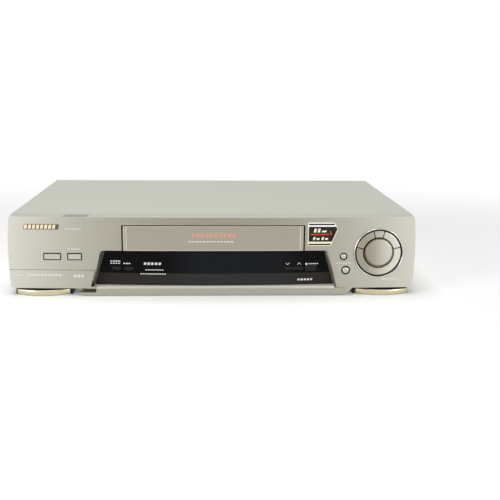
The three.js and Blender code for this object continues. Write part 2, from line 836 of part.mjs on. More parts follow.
const cupRadius = ringHoleRadius - clearance;
const cupInner = cupRadius - bezelWall;
const bezelProfile = [
  [0, cupDepth], [cupInner, cupDepth], [cupInner, -bezelEdge], [cupRadius, -bezelProud],
  [bezelRadius - bezelEdge, -bezelProud], [bezelRadius, -bezelProud + bezelEdge],
  [bezelRadius, -bezelLift], [cupRadius, -bezelLift],
  [cupRadius, cupDepth + cupFloor], [0, cupDepth + cupFloor],
];
const keyMiddle = (keyOuterRadius + keyInnerRadius) / 2;
const radians = Math.PI / 180;
const keySpans = {
  pause_key: [90 - ringTopAngle, 90 + ringTopAngle],
  fast_forward_key: [90 - ringSideAngle, 90 - ringTopAngle],
  rewind_key: [90 + ringTopAngle, 90 + ringSideAngle],
  play_key: [90 + ringSideAngle, 450 - ringSideAngle],
};
const stemPlaces = Object.fromEntries(Object.entries(keySpans).map(([name, [from, to]]) => {
  const angle = ((from + to) / 2) * radians;
  return [name, [keyMiddle * Math.cos(angle), keyMiddle * Math.sin(angle)]];
}));
stemPlaces.stop_key = [0, 0];
const stemHoles = Object.values(stemPlaces).map(([x, z]) => rodY(
  stemRadius + clearance, cupDepth - overrun, cupDepth + cupFloor + overrun, x, z, pinSteps,
));
piece('transport_bezel', cut(turnedY(bezelProfile, 0, 0, ringSteps), ...stemHoles), polished, dial);

// Where a stem ends before its switch, measured in the ring's own frame
const stemEndInRing = (x) => (stemEndY - ringY - x * Math.sin(ringTilt)) / Math.cos(ringTilt);
const dialStem = (x, z) => rodY(stemRadius, keyDepth - overrun, stemEndInRing(x), x, z, pinSteps);

const keyProfile = [
  [keyOuterRadius, keyDepth], [keyOuterRadius, -keyProud + keyEdge], [keyOuterRadius - keyEdge, -keyProud],
  [keyInnerRadius + keyEdge, -keyProud], [keyInnerRadius, -keyProud + keyEdge],
  [discRadius + sheet, keyProud], [discRadius + sheet, keyDepth], [keyOuterRadius, keyDepth],
];
const keyRing = turnedY(keyProfile, 0, 0, ringSteps);
const dividers = [ringTopAngle, -ringTopAngle, ringSideAngle, -ringSideAngle].map((angle) => {
  const bar = new THREE.BoxGeometry(keyGap, 2 * cupDepth, bezelRadius);
  bar.translate(0, 0, bezelRadius / 2).rotateY(angle * radians);
  return solidOf(bar);
});
const splitRing = cut(keyRing, ...dividers);
for (const [name, [from, to]] of Object.entries(keySpans)) {
  const arc = spread(from, to, Math.ceil((to - from) / 30)).map((angle) => [
    2 * bezelRadius * Math.cos(angle * radians), 2 * bezelRadius * Math.sin(angle * radians),
  ]);
  const wedge = alongY(polygon([[0, 0], ...arc]), -cupDepth, cupDepth);
  const key = joined(common(splitRing, wedge), dialStem(...stemPlaces[name]));
  piece(name, key, champagneLight, dial);
}

const discProfile = [
  [0, keyDepth], [discRadius, keyDepth], [discRadius, -discProud / 2], [discRadius - keyEdge, -discProud * 0.72],
  [discRadius * 0.82, -discProud * 0.9], [discRadius * 0.5, -discProud * 0.98], [0, -discProud],
];
piece('stop_key', joined(turnedY(discProfile, 0, 0, 28), dialStem(0, 0)), champagneLight, dial);

// Sheet steel cover: a U bent over the chassis, with vent slots in both sides
const coverInset = 1;
const bendRadius = 3.2;
const coverSkirtZ = 7;
const ventCount = 11;
const ventWidth = 2.6;
const ventHeight = 36;
const ventPitch = 8;
const ventSetback = 107;
const ventFirstY = rearY - ventSetback;
const ventFirstZ = 24;
const coverHalf = width / 2 - coverInset;

function coverOutline(inset) {
  const [half, top, radius] = [coverHalf - inset, height - inset, bendRadius - inset];
  const shape = new THREE.Shape();
  shape.moveTo(-half, coverSkirtZ - overrun * Math.sign(inset));
  shape.lineTo(half, coverSkirtZ - overrun * Math.sign(inset));
  shape.absarc(half - radius, top - radius, radius, 0, Math.PI / 2, false);
  shape.absarc(-half + radius, top - radius, radius, Math.PI / 2, Math.PI, false);
  shape.closePath();
  return shape;
}

const vents = spread(0, ventCount - 1, ventCount - 1).map((column) => {
  const y = ventFirstY + column * ventPitch;
  return block(-width, width, y, y + ventWidth, ventFirstZ, ventFirstZ + ventHeight);
});
const coverInner = coverHalf - sheet;
const coverTopZ = height - sheet;
piece('top_cover', cut(
  alongY(coverOutline(0), jointY + clearance, rearY, 4),
  alongY(coverOutline(sheet), jointY, rearY + overrun, 4),
  ...vents,
), paintedSteel);

// The cassette's width gives the carriage's, and the carriage stands on the mechanism deck.
// The mechanism's places are measured from its own origin, which lies mechanismY back.
const holderRoom = 0.8;
const holderSheet = 1;
const sliderSheet = 1;
const bracketSheet = 1.5;
const bracketFoot = 6;
const holderInner = cassetteWidth / 2 + holderRoom;
const holderOuter = holderInner + holderSheet;
const sliderInner = holderOuter + clearance;
const sliderOuter = sliderInner + sliderSheet;
const bracketInner = sliderOuter + clearance;
const bracketOuter = bracketInner + bracketSheet;

const deckZ = 20;
const deckThickness = 1.6;
const deckMargin = 1.1;
const deckFrontY = -104;
const deckBackY = 98;
const deckGap = 21;
const legRadius = 4;
const legInset = 12;
const deckHalf = bracketOuter + bracketFoot + deckMargin;
const mechanismY = jointY + deckGap - deckFrontY;
const legXs = [legInset - deckHalf, deckHalf - legInset];
const legYs = [deckFrontY + legInset, deckBackY - legInset];
const deckTopZ = deckZ + deckThickness;
const restZ = deckTopZ + clearance;

// Chassis pan with turned-up edges and pressed pads that carry the boards
const panFlange = 15;
const rearFlange = 5;
const rearInset = 0.6;
const boardZ = 11;
const padHalf = 4;
const padInset = 11;
const mainBoardInset = 8;
const mainBoardReach = 12;
const mainBoardSetback = 25;
const powerBoardInset = 7;
const powerBoardDepth = 141;
const boardSpacing = 6;
const floorVentCount = 8;
const panHalf = coverInner - clearance;
const rearPlateY = rearY - rearInset - sheet;
const panFrontY = jointY + clearance;
const panRearY = rearPlateY - clearance;
const boardEndY = panRearY - sheet - clearance;
const mainBoardLeftX = -width / 2 + mainBoardInset;
const mainBoardRightX = deckHalf + mainBoardReach;
const mainBoardFrontY = jointY + mainBoardSetback;
const powerBoardLeftX = mainBoardRightX + boardSpacing;
const powerBoardRightX = width / 2 - powerBoardInset;
const powerBoardFrontY = rearY - powerBoardDepth;
const pan = cut(
  block(-panHalf, panHalf, panFrontY, panRearY, floorZ, floorTopZ + panFlange),
  block(
    -panHalf + sheet, panHalf - sheet, panFrontY - overrun, panRearY - sheet,
    floorTopZ, floorTopZ + panFlange + overrun,
  ),
  block(-width, width, panRearY - sheet - overrun, rearY, floorTopZ + rearFlange, height),
);
const padYs = (nearY) => [nearY + padInset, boardEndY - padInset];
const mainPadXs = [
  mainBoardLeftX + padInset, (mainBoardLeftX + mainBoardRightX) / 2, mainBoardRightX - padInset,
];
const powerPadXs = [powerBoardLeftX + padInset, powerBoardRightX - padInset];
const padPlaces = [
  ...mainPadXs.flatMap((x) => padYs(mainBoardFrontY).map((y) => [x, y])),
  ...powerPadXs.flatMap((x) => padYs(powerBoardFrontY).map((y) => [x, y])),
];
const pads = padPlaces.map(([x, y]) => block(
  x - padHalf, x + padHalf, y - padHalf, y + padHalf, floorTopZ - sheet / 2, boardZ - clearance,
));
const floorVents = spread(0, floorVentCount - 1, floorVentCount - 1).map((step) => {
  const y = ventFirstY + step * ventPitch;
  return block(powerPadXs[0], powerPadXs[1], y, y + ventWidth, 0, boardZ);
});
piece('chassis', cut(joined(pan, ...pads), ...floorVents), zincSteel);

// Feet: the front pair black with a gold crescent let into the nose, the rear pair round
const footChinGap = 0.6;
const footInset = 5.8;
const footBackY = 45;
const footShoulder = 9;
const trimInset = 1.8;
const trimDepth = 2.4;
const trimHeight = 5.2;
const trimFloor = 0.4;
const crescentSteps = 10;
const rearFootRadius = 12;
const rearFootInset = 50;
const rearFootSetback = 33;
const footInnerX = chinCentreX + chinReach + footChinGap;
const footOuterX = width / 2 - footInset;
const footX = (footInnerX + footOuterX) / 2;
const footHalf = (footOuterX - footInnerX) / 2;
const trimHalf = footHalf - trimInset;
const rearFootX = width / 2 - rearFootInset;
const rearFootY = rearY - rearFootSetback;

function noseY(side, x, setback) {
  const share = (x - side * footX) / footHalf;
  return frontY + setback + footShoulder * share * share;
}

for (const [word, side] of [['left', -1], ['right', 1]]) {
  const middle = side * footX;
  const trim = (grow) => plan(
    middle - trimHalf - grow, middle + trimHalf + grow,
    (x) => noseY(side, x, -grow), (x) => noseY(side, x, trimDepth + grow), crescentSteps,
  );
  const foot = plan(
    middle - footHalf, middle + footHalf,
    (x) => noseY(side, x, sheet), flat(frontY + footBackY), crescentSteps,
  );
  piece(`front_foot_${word}`, cut(
    alongZ(foot, 0, footHeight),
    alongZ(trim(clearance), -overrun, trimHeight + clearance),
  ), blackPlastic);
  piece(`foot_trim_${word}`, alongZ(trim(0), trimFloor, trimHeight), gold);
  piece(`rear_foot_${word}`, turnedZ([
    [0, 0], [rearFootRadius - sheet, 0], [rearFootRadius, sheet],
    [rearFootRadius - sheet / 2, footHeight], [0, footHeight],
  ], side * rearFootX, rearFootY, 20), blackPlastic);
}

// Rear panel and its sockets
const aerialFromEnd = 32;
const aerialLowZ = 29;
const aerialHighZ = 51;
const aerialRadius = 6.4;
const aerialBore = 4.8;
const aerialPin = 1.2;
const aerialSleeve = 2;
const tunerHalf = 21;
const tunerDepth = 40;
const tunerTopZ = 64;
const scartSpacing = 53;
const scartLowZ = 27;
const scartHighZ = 52;
const scartHalf = 24;
const scartHalfHeight = 8;
const scartDepth = 14;
const scartProud = 2.6;
const scartGroove = 2.1;
const scartGrooveDepth = 9;
const scartCoreHalf = 19.6;
const scartCoreHalfHeight = 3.6;
const scartSlant = 5;
const phonoOutSpacing = 40;
const phonoOutZs = [24, 42];
const phonoBlockHalf = 8;
const phonoBlockDepth = 12;
const phonoReach = 5.4;
const inletFromEnd = 33;
const inletZ = 24;
const inletHalf = 12;
const inletHalfHeight = 8;
const inletDepth = 18;
const inletProud = 1.4;
const inletWell = 12;
const inletWellHalf = 7;
const inletWellHalfHeight = 4;
const inletPin = 1.15;
const inletPinHalfSpacing = 4.3;
const rearVentCount = 8;
const rearVentZ = 44;
const rearVentHeight = 22;
const aerialX = -width / 2 + aerialFromEnd;
const scartX = aerialX + scartSpacing;
const phonoOutX = scartX + phonoOutSpacing;
const inletX = width / 2 - inletFromEnd;

const mainBoardTopZ = boardZ + boardThickness;
const seatZ = mainBoardTopZ + clearance;

const rearHoles = [
  ...[aerialLowZ, aerialHighZ].map((z) => rodY(aerialRadius + clearance, rearPlateY - overrun, rearY, aerialX, z)),
  ...[scartLowZ, scartHighZ].map((z) => block(
    scartX - scartHalf - clearance, scartX + scartHalf + clearance, rearPlateY - overrun, rearY,
    z - scartHalfHeight - clearance, z + scartHalfHeight + clearance,
  )),
  ...phonoOutZs.map((z) => rodY(phonoRadius + clearance, rearPlateY - overrun, rearY, phonoOutX, z)),
  block(
    inletX - inletHalf - clearance, inletX + inletHalf + clearance, rearPlateY - overrun, rearY,
    inletZ - inletHalfHeight - clearance, inletZ + inletHalfHeight + clearance,
  ),
  ...spread(0, rearVentCount - 1, rearVentCount - 1).map((step) => block(
    step * ventPitch, step * ventPitch + ventWidth, rearPlateY - overrun, rearY,
    rearVentZ, rearVentZ + rearVentHeight,
  )),
];
piece('rear_panel', cut(
  common(
    alongY(coverOutline(sheet + clearance), rearPlateY, rearPlateY + sheet, 3),
    block(-width, width, frontY, rearY, floorZ, height),
  ),
  ...rearHoles,
), zincSteel);

// Tuner box with its two coaxial sockets, one with a pin and one with a sleeve
const tunerBackY = rearPlateY - clearance - sheet;
const coax = (z, inner) => joined(
  cut(
    rodY(aerialRadius, tunerBackY - overrun, rearY + socketReach, aerialX, z),
    rodY(aerialBore, tunerBackY, rearY + socketReach + overrun, aerialX, z),
  ),
  inner,
);
const sleeve = cut(
  rodY(aerialSleeve, tunerBackY - overrun, rearY + socketReach - sheet, aerialX, aerialHighZ, pinSteps),
  rodY(aerialPin, tunerBackY, rearY + socketReach, aerialX, aerialHighZ, 8),
);
piece('rf_unit', joined(
  block(aerialX - tunerHalf, aerialX + tunerHalf, tunerBackY - tunerDepth, tunerBackY, seatZ, tunerTopZ),
  coax(aerialLowZ, rodY(aerialPin, tunerBackY - overrun, rearY + socketReach - sheet, aerialX, aerialLowZ, 8)),
  coax(aerialHighZ, sleeve),
), zincSteel);

// 21-pin sockets: a shroud with one slanted end, and a groove round the contact block
function scartShape(z, half, tall) {
  return polygon([
    [scartX - half, z - tall], [scartX + half - scartSlant / 2, z - tall],
    [scartX + half, z + tall], [scartX - half, z + tall],
  ]);
}

function scart(name, z) {
  const faceEnd = rearPlateY + sheet + scartProud;
  const grooveEnd = faceEnd - scartGrooveDepth;
  const body = block(
    scartX - scartHalf, scartX + scartHalf, faceEnd - scartDepth, faceEnd,
    z - scartHalfHeight, z + scartHalfHeight,
  );
  const groove = cut(
    alongY(
      scartShape(z, scartCoreHalf + scartGroove, scartCoreHalfHeight + scartGroove), grooveEnd, faceEnd + overrun,
    ),
    alongY(scartShape(z, scartCoreHalf, scartCoreHalfHeight), grooveEnd - overrun, faceEnd + 2 * overrun),
  );
  piece(name, cut(body, groove), blackPlastic);
}

scart('av1_socket', scartLowZ);
scart('av2_socket', scartHighZ);

// Phono sockets: sleeves with a bore on one moulded block
function phonoSleeve(x, z, backY, endY, out) {
  const [y0, y1] = [Math.min(backY, endY), Math.max(backY, endY)];
  const boreY = out > 0 ? [y0, y1 + overrun] : [y0 - overrun, y1];
  return [
    rodY(phonoRadius, y0 - (out > 0 ? overrun : 0), y1 + (out > 0 ? 0 : overrun), x, z, 16),
    rodY(phonoBore, boreY[0], boreY[1], x, z, pinSteps),
  ];
}

const audioSleeves = phonoOutZs.map((z) => phonoSleeve(
  phonoOutX, z, rearPlateY - clearance, rearPlateY + phonoReach, 1,
));
piece('audio_out_jacks', cut(
  joined(
    block(
      phonoOutX - phonoBlockHalf, phonoOutX + phonoBlockHalf, rearPlateY - clearance - phonoBlockDepth,
      rearPlateY - clearance, seatZ, phonoOutZs[1] + phonoBlockHalf,
    ),
    ...audioSleeves.map(([tube]) => tube),
  ),
  ...audioSleeves.map(([, bore]) => bore),
), blackPlastic);

const frontJackY = trayFrontY + trayWall + clearance;
const frontSleeves = phonoXs.map((x) => phonoSleeve(x, phonoZ, frontJackY, frontJackY - phonoReach, -1));
piece('front_av_jacks', cut(
  joined(
    block(
      phonoXs[0] - phonoBlockHalf, phonoXs[2] + phonoBlockHalf, frontJackY, frontJackY + phonoBlockDepth,
      skirtZ + panelWall + clearance, phonoZ + phonoBlockHalf,
    ),
    ...frontSleeves.map(([tube]) => tube),
  ),
  ...frontSleeves.map(([, bore]) => bore),
), yellowPlastic);

// Mains inlet: a well with two pins
const inletEndY = rearPlateY + sheet + inletProud;
const inletWellShape = roundedBox(
  inletX - inletWellHalf, inletX + inletWellHalf, inletZ - inletWellHalfHeight, inletZ + inletWellHalfHeight,
  inletWellHalfHeight - sheet / 2,
);
piece('ac_inlet', joined(
  cut(
    joined(
      block(
        inletX - inletHalf, inletX + inletHalf, inletEndY - inletDepth, inletEndY,
        inletZ - inletHalfHeight, inletZ + inletHalfHeight,
      ),
      block(
        inletX - inletHalf, inletX + inletHalf, inletEndY - inletDepth, rearPlateY - clearance,
        seatZ, inletZ,
      ),
    ),
    alongY(inletWellShape, inletEndY - inletWell, inletEndY + overrun, 4),
  ),
  ...[-1, 1].map((side) => rodY(
    inletPin, inletEndY - inletWell - overrun, inletEndY - overrun, inletX + side * inletPinHalfSpacing, inletZ, 10,
  )),
), blackPlastic);

// Boards: a plate with its components standing on it, placed by shares of the board
function board(x0, x1, y0, y1, packages) {
  const plate = block(x0, x1, y0, y1, boardZ, mainBoardTopZ);
  const parts = packages.map(([xShare, yShare, shape, ...sizes]) => {
    const [x, y] = [x0 + (x1 - x0) * xShare, y0 + (y1 - y0) * yShare];
    const base = mainBoardTopZ - boardThickness / 2;
    if (shape === 'can') return rodZ(sizes[0], base, mainBoardTopZ + sizes[1], x, y, pinSteps);
    return block(
      x - sizes[0] / 2, x + sizes[0] / 2, y - sizes[1] / 2, y + sizes[1] / 2, base, mainBoardTopZ + sizes[2],
    );
  });
  return joined(plate, ...parts);
}

const chipSide = 16;
const chipHeight = 2.6;
const bigChipSide = 24;
const shieldSide = 34;
const shieldHeight = 6;
const capRadius = 4;
const capHeight = 6.2;
const tallCapRadius = 6;
const tallCapHeight = 26;
const chip = ['box', chipSide, chipSide, chipHeight];
const bigChip = ['box', bigChipSide, bigChipSide, chipHeight];
const shield = ['box', shieldSide, shieldSide, shieldHeight];
const can = ['can', capRadius, capHeight];
const mainPackageShares = [
  [0.1, 0.12, ...bigChip], [0.22, 0.2, ...chip], [0.07, 0.34, ...can], [0.12, 0.34, ...can],
  [0.24, 0.42, ...shield], [0.1, 0.55, ...shield], [0.42, 0.1, ...chip], [0.55, 0.3, ...bigChip],
  [0.72, 0.18, ...chip], [0.86, 0.3, ...can], [0.9, 0.86, ...chip], [0.62, 0.9, ...can],
  [0.68, 0.9, ...can], [0.48, 0.88, ...chip],
];
const legHoles = legXs.flatMap((x) => legYs.map((y) => rodZ(
  legRadius + sheet, 0, deckZ, x, mechanismY + y, pinSteps,
)));
piece('main_board', cut(
  board(mainBoardLeftX, mainBoardRightX, mainBoardFrontY, boardEndY, mainPackageShares), ...legHoles,
), boardGreen);

const sinkThickness = 3;
const sinkLength = 50;
const powerPackageShares = [
  [0.2, 0.12, 'can', tallCapRadius, tallCapHeight], [0.45, 0.12, 'can', capRadius, capHeight],
  [0.62, 0.12, 'can', capRadius, capHeight], [0.12, 0.55, 'box', sinkThickness, sinkLength, tallCapHeight],
  [0.8, 0.3, 'can', 2 * tallCapRadius, tallCapHeight], [0.3, 0.7, ...chip],
];
piece('power_board', board(
  powerBoardLeftX, powerBoardRightX, powerBoardFrontY, boardEndY, powerPackageShares,
), boardTan);

// Switching transformer: a ferrite core round a wound bobbin
const coreShare = 0.5238;
const coreSetback = 73;
const coreHalf = 15;
const coreHalfDepth = 6;
const coreHeight = 27;
const windingRadius = 11;
const windingHeight = 16;
const coreX = powerBoardLeftX + (powerBoardRightX - powerBoardLeftX) * coreShare;
const coreY = rearY - coreSetback;
piece('power_transformer', joined(
  block(coreX - coreHalf, coreX + coreHalf, coreY - coreHalfDepth, coreY + coreHalfDepth, seatZ, seatZ + coreHeight),
  rodZ(
    windingRadius, seatZ + (coreHeight - windingHeight) / 2, seatZ + (coreHeight + windingHeight) / 2, coreX, coreY, 20,
  ),
  block(
    coreX - windingRadius, coreX + windingRadius, coreY - windingRadius, coreY + windingRadius,
    seatZ, seatZ + (coreHeight - windingHeight) / 2,
  ),
), copper);

// Operation board: one plate that reaches behind every button, with a switch at each stem
const operationOutline = polygon([
  [operationLeftX, operationJacksZ], [operationJacksX, operationJacksZ], [operationJacksX, operationLowZ],
  [operationRightX, operationLowZ], [operationRightX, operationTopZ], [operationRingX, operationTopZ],
  [operationRingX, operationMidZ], [operationLeftBlockX, operationMidZ],
  [operationLeftBlockX, operationLeftTopZ], [operationLeftX, operationLeftTopZ],
]);
const switchPlaces = [
  [powerX, upperRowZ], [ejectX, upperRowZ], [upperRoundX, upperRoundZ], [lowerRoundX, lowerRoundZ],
  [directX, windowButtonZ], [dubX, windowButtonZ], [rockerX - rockerArm, windowButtonZ],
  [rockerX + rockerArm, windowButtonZ], [recordCapX, windowButtonZ],
  ...Object.values(stemPlaces).map(([x, z]) => {
    const end = new THREE.Vector3(x, stemEndInRing(x), z).applyMatrix4(ringPlace);
    return [end.x, end.z];
  }),
];
const switches = switchPlaces.map(([x, z]) => joined(
  block(
    x - switchSize / 2, x + switchSize / 2, switchY + overrun, operationBoardY + boardThickness / 2,
    z - switchSize / 2, z + switchSize / 2,
  ),
  rodY(stemRadius, switchY, switchY + 2 * overrun, x, z, 6),
));
piece('operation_board', joined(
  alongY(operationOutline, operationBoardY, operationBoardY + boardThickness), ...switches,
), boardTan);

// Fluorescent display tube on the operation board, behind the glass
const tubeInset = 70;
const tubeHalf = glassTopHalf - tubeInset;
const tubeLowZ = 19;
const tubeHighZ = 38;
const tubeDepth = 8;
const tubeEdge = 1.5;
const tubeBackY = operationBoardY - clearance;
piece('display_tube', joined(
  block(-tubeHalf, tubeHalf, tubeBackY - tubeDepth / 2, tubeBackY, tubeLowZ, tubeHighZ),
  block(
    -tubeHalf + tubeEdge, tubeHalf - tubeEdge, tubeBackY - tubeDepth, tubeBackY - tubeDepth / 2,
    tubeLowZ + tubeEdge, tubeHighZ - tubeEdge,
  ),
), greyPlastic);

// Where the pieces of the tape path stand on the deck, in the mechanism's own frame
const mechanism = new THREE.Group();
mechanism.position.y = mechanismY;
recorder.add(mechanism);

const drumX = 0;
const drumY = 57;
const drumRadius = 31;
const drumTilt = 6;
const lowerDrumHeight = 16;
const upperDrumHeight = 17;
const drumStepRadius = 22;
const drumStepHeight = 5;
const drumShaftRadius = 3;
const headGap = 0.5;
const drumSteps = 24;
const capstanX = 52;
const capstanY = 24;
const capstanRadius = 1.5;
const capstanHousing = 4;
const capstanHousingHeight = 9;
const capstanTopZ = 51;
const flywheelRadius = 27;
const flywheelThickness = 4.5;
const reelSpacing = 92;
const reelY = -41;
const reelPin = 1.5;
const reelPinHeight = 17;
const guideStartX = 36;
const guideStartY = 4;
const guideEndX = 39;
const guideEndY = 52;
const guideSlotHalf = 2;
const idlerPivotY = -11;
const idlerReach = 30;
const pinchPivotX = 70;
const pinchPivotY = 49;
const tensionPivotX = -70;
const tensionPivotY = 10;
const camX = -78;
const camY = 64;
const camTipRadius = 16;
const toothHeight = 1.3;
const wormTipRadius = 4;
const motorRadius = 8;
const motorLength = 20;
const motorFrontX = -61;
const wormLeftX = -89.5;
const wormShaft = 1.2;
const headPostRadius = 1.5;
const pivotRadius = 1.5;
const camRootRadius = camTipRadius - toothHeight;
const camPitchRadius = camTipRadius - toothHeight / 2;
const camTeeth = 24;
const wormPitch = (2 * Math.PI * camPitchRadius) / camTeeth;
const wormY = camY + camRootRadius + wormTipRadius + clearance;
const wormZ = restZ + motorRadius;

const guideRun = Math.hypot(guideEndX - guideStartX, guideEndY - guideStartY);
const guideLean = Math.atan2(guideEndX - guideStartX, guideEndY - guideStartY);

function guideSlot(side) {
  const slot = new THREE.BoxGeometry(2 * guideSlotHalf, guideRun + 2 * guideSlotHalf, 2 * deckZ);
  slot.rotateZ(-side * guideLean);
  slot.translate(side * (guideStartX + guideEndX) / 2, (guideStartY + guideEndY) / 2, deckZ);
  return solidOf(slot);
}

// Deck: plate, legs, capstan housing, pins for everything that turns, and the worm's bearing
const pinTop = (rise) => restZ + rise;
const idlerPinHeight = 3.4;
const pinchPinHeight = 8;
const tensionPinHeight = 5;
const camPinHeight = 12;
const bearingWidth = 3;
const bearingHalf = 3.4;
const bearing = cut(
  block(
    wormLeftX, wormLeftX + bearingWidth, wormY - bearingHalf, wormY + bearingHalf, deckTopZ - sheet, wormZ + bearingHalf,
  ),
  rodX(wormShaft + clearance, wormLeftX - overrun, wormLeftX + bearingWidth + overrun, wormY, wormZ, pinSteps),
);
const deckPins = [
  [-reelSpacing / 2, reelY, reelPin, reelPinHeight], [reelSpacing / 2, reelY, reelPin, reelPinHeight],
  [0, idlerPivotY, pivotRadius, idlerPinHeight], [pinchPivotX, pinchPivotY, pivotRadius, pinchPinHeight],
  [tensionPivotX, tensionPivotY, pivotRadius, tensionPinHeight], [camX, camY, pivotRadius, camPinHeight],
].map(([x, y, radius, rise]) => rodZ(radius, deckTopZ - sheet, pinTop(rise), x, y, pinSteps));
piece('mech_deck', cut(
  joined(
    block(-deckHalf, deckHalf, deckFrontY, deckBackY, deckZ, deckTopZ),
    ...legXs.flatMap((x) => legYs.map((y) => rodZ(legRadius, floorTopZ + clearance, deckZ + sheet, x, y, pinSteps))),
    rodZ(capstanHousing, deckTopZ - sheet, deckTopZ + capstanHousingHeight, capstanX, capstanY, 16),
    bearing,
    ...deckPins,
  ),
  rodZ(capstanRadius + clearance, 0, capstanTopZ, capstanX, capstanY, pinSteps),
  guideSlot(-1),
  guideSlot(1),
), zincSteel, mechanism);

// Drum: a fixed lower part stood level on the deck and a turning upper part, on one leaning axis
const drumPlace = new THREE.Matrix4()
  .makeTranslation(drumX, drumY, restZ)
  .multiply(new THREE.Matrix4().makeRotationY(-drumTilt * radians));
const lowerDrum = turnedZ([
  [0, -drumStepHeight], [drumStepRadius, -drumStepHeight], [drumStepRadius, drumStepHeight],
  [drumRadius, drumStepHeight], [drumRadius, drumStepHeight + lowerDrumHeight],
  [0, drumStepHeight + lowerDrumHeight],
], 0, 0, drumSteps);
const drumBore = rodZ(
  drumShaftRadius + clearance, drumStepHeight, drumStepHeight + lowerDrumHeight + overrun, 0, 0, 16,
);
piece('lower_drum', cut(
  moved(cut(lowerDrum, drumBore), drumPlace),
  block(-width, width, frontY, rearY, 0, restZ),
), aluminium, mechanism);

const upperBaseZ = drumStepHeight + lowerDrumHeight + headGap;
const upperTopZ = upperBaseZ + upperDrumHeight;
const upperDrum = turnedZ([
  [0, drumStepHeight + overrun], [drumShaftRadius, drumStepHeight + overrun], [drumShaftRadius, upperBaseZ],
  [drumRadius, upperBaseZ], [drumRadius, upperTopZ - sheet], [drumRadius - sheet, upperTopZ],
  [drumStepRadius, upperTopZ], [drumStepRadius, upperTopZ - drumStepHeight],
  [drumStepRadius / 2, upperTopZ - drumStepHeight], [drumStepRadius / 2, upperTopZ], [0, upperTopZ],
], 0, 0, drumSteps);
piece('upper_drum', moved(upperDrum, drumPlace), aluminium, mechanism);

// Capstan: flywheel under the deck on a long shaft
const flywheelTopZ = deckZ - sheet;
piece('capstan_flywheel', turnedZ([
  [0, flywheelTopZ - flywheelThickness], [flywheelRadius - sheet, flywheelTopZ - flywheelThickness],
  [flywheelRadius, flywheelTopZ - flywheelThickness + sheet], [flywheelRadius, flywheelTopZ],
  [capstanHousing, flywheelTopZ], [capstanRadius, deckZ - clearance],
  [capstanRadius, capstanTopZ - sheet], [0, capstanTopZ],
], capstanX, capstanY, 28), zincSteel, mechanism);

// A gear outline: tapered teeth on a root circle, one of them centred on the first axis
function gearShape(teeth, rootRadius, tipRadius) {
  const toothShares = [[-0.5, 0], [-0.13, 1], [0.13, 1]];
  const points = [];
  for (let tooth = 0; tooth < teeth; tooth += 1) {
    for (const [turnShare, riseShare] of toothShares) {
      const angle = (2 * Math.PI * (tooth + turnShare)) / teeth;
      const radius = rootRadius + (tipRadius - rootRadius) * riseShare;
      points.push([radius * Math.cos(angle), radius * Math.sin(angle)]);
    }
  }
  return polygon(points);
}

const at = (x, y, z = 0) => new THREE.Matrix4().makeTranslation(x, y, z);

// Reel tables: a toothed flange and a ribbed spindle over the deck's pin
const reelTipRadius = 20;
const reelTeeth = 24;
const reelFlange = 2.4;
const reelLift = 2;
const reelHubRadius = 12;
const reelHubHeight = 3;
const spindleRadius = 6;
const spindleHeight = 20.5;
const spindleRib = 1.6;
const spindleRibReach = 8.2;
const reelFlangeZ = restZ + reelLift;
const reelHubZ = reelFlangeZ + reelFlange + reelHubHeight;
const spindleTopZ = restZ + spindleHeight;
const reelBore = rodZ(reelPin + clearance, 0, pinTop(reelPinHeight) + clearance, 0, 0, pinSteps);
const ribs = [0, 1, 2].map((third) => {
  const rib = new THREE.BoxGeometry(spindleRibReach, spindleRib, spindleTopZ - sheet - reelHubZ + sheet);
  rib.translate(spindleRibReach / 2, 0, (spindleTopZ - sheet + reelHubZ - sheet) / 2);
  return solidOf(rib.rotateZ((2 * Math.PI * third) / 3));
});
const reel = cut(
  joined(
    turnedZ([
      [0, restZ], [spindleRadius, restZ], [spindleRadius, reelFlangeZ + sheet], [reelHubRadius, reelFlangeZ + sheet],
      [reelHubRadius, reelHubZ], [spindleRadius, reelHubZ], [spindleRadius, spindleTopZ - 2 * sheet],
      [spindleRadius / 2, spindleTopZ], [0, spindleTopZ],
    ], 0, 0, 16),
    alongZ(gearShape(reelTeeth, reelTipRadius - toothHeight, reelTipRadius), reelFlangeZ, reelFlangeZ + reelFlange),
    ...ribs,
  ),
  reelBore,
);
piece('supply_reel', moved(reel, at(-reelSpacing / 2, reelY)), whitePlastic, mechanism);
piece('takeup_reel', moved(reel, at(reelSpacing / 2, reelY)), whitePlastic, mechanism);

// Idler: an arm that swings between the reels, with its gear level with their flanges
const armThickness = 1.4;
const armHalf = 4;
const idlerTipRadius = 13.6;
const idlerTeeth = 16;
const idlerBoss = 3;
const idlerGearY = idlerPivotY - idlerReach;
const idlerPinTop = reelFlangeZ + reelFlange + sheet;
piece('idler_arm', cut(
  joined(
    block(-armHalf, armHalf, idlerGearY, idlerPivotY, restZ, restZ + armThickness),
    rodZ(armHalf, restZ, restZ + armThickness, 0, idlerPivotY, 16),
    rodZ(armHalf, restZ, restZ + armThickness, 0, idlerGearY, 16),
    rodZ(pivotRadius, restZ + armThickness / 2, idlerPinTop, 0, idlerGearY, pinSteps),
    rodZ(idlerBoss, restZ + armThickness / 2, restZ + idlerPinHeight, 0, idlerPivotY, pinSteps),
  ),
  rodZ(pivotRadius + clearance, 0, height, 0, idlerPivotY, pinSteps),
), greyPlastic, mechanism);
piece('idler_gear', moved(cut(
  alongZ(
    gearShape(idlerTeeth, idlerTipRadius - toothHeight, idlerTipRadius),
    restZ + armThickness + clearance, reelFlangeZ + reelFlange,
  ),
  rodZ(pivotRadius + clearance, 0, height, 0, 0, pinSteps),
), at(0, idlerGearY)), whitePlastic, mechanism);

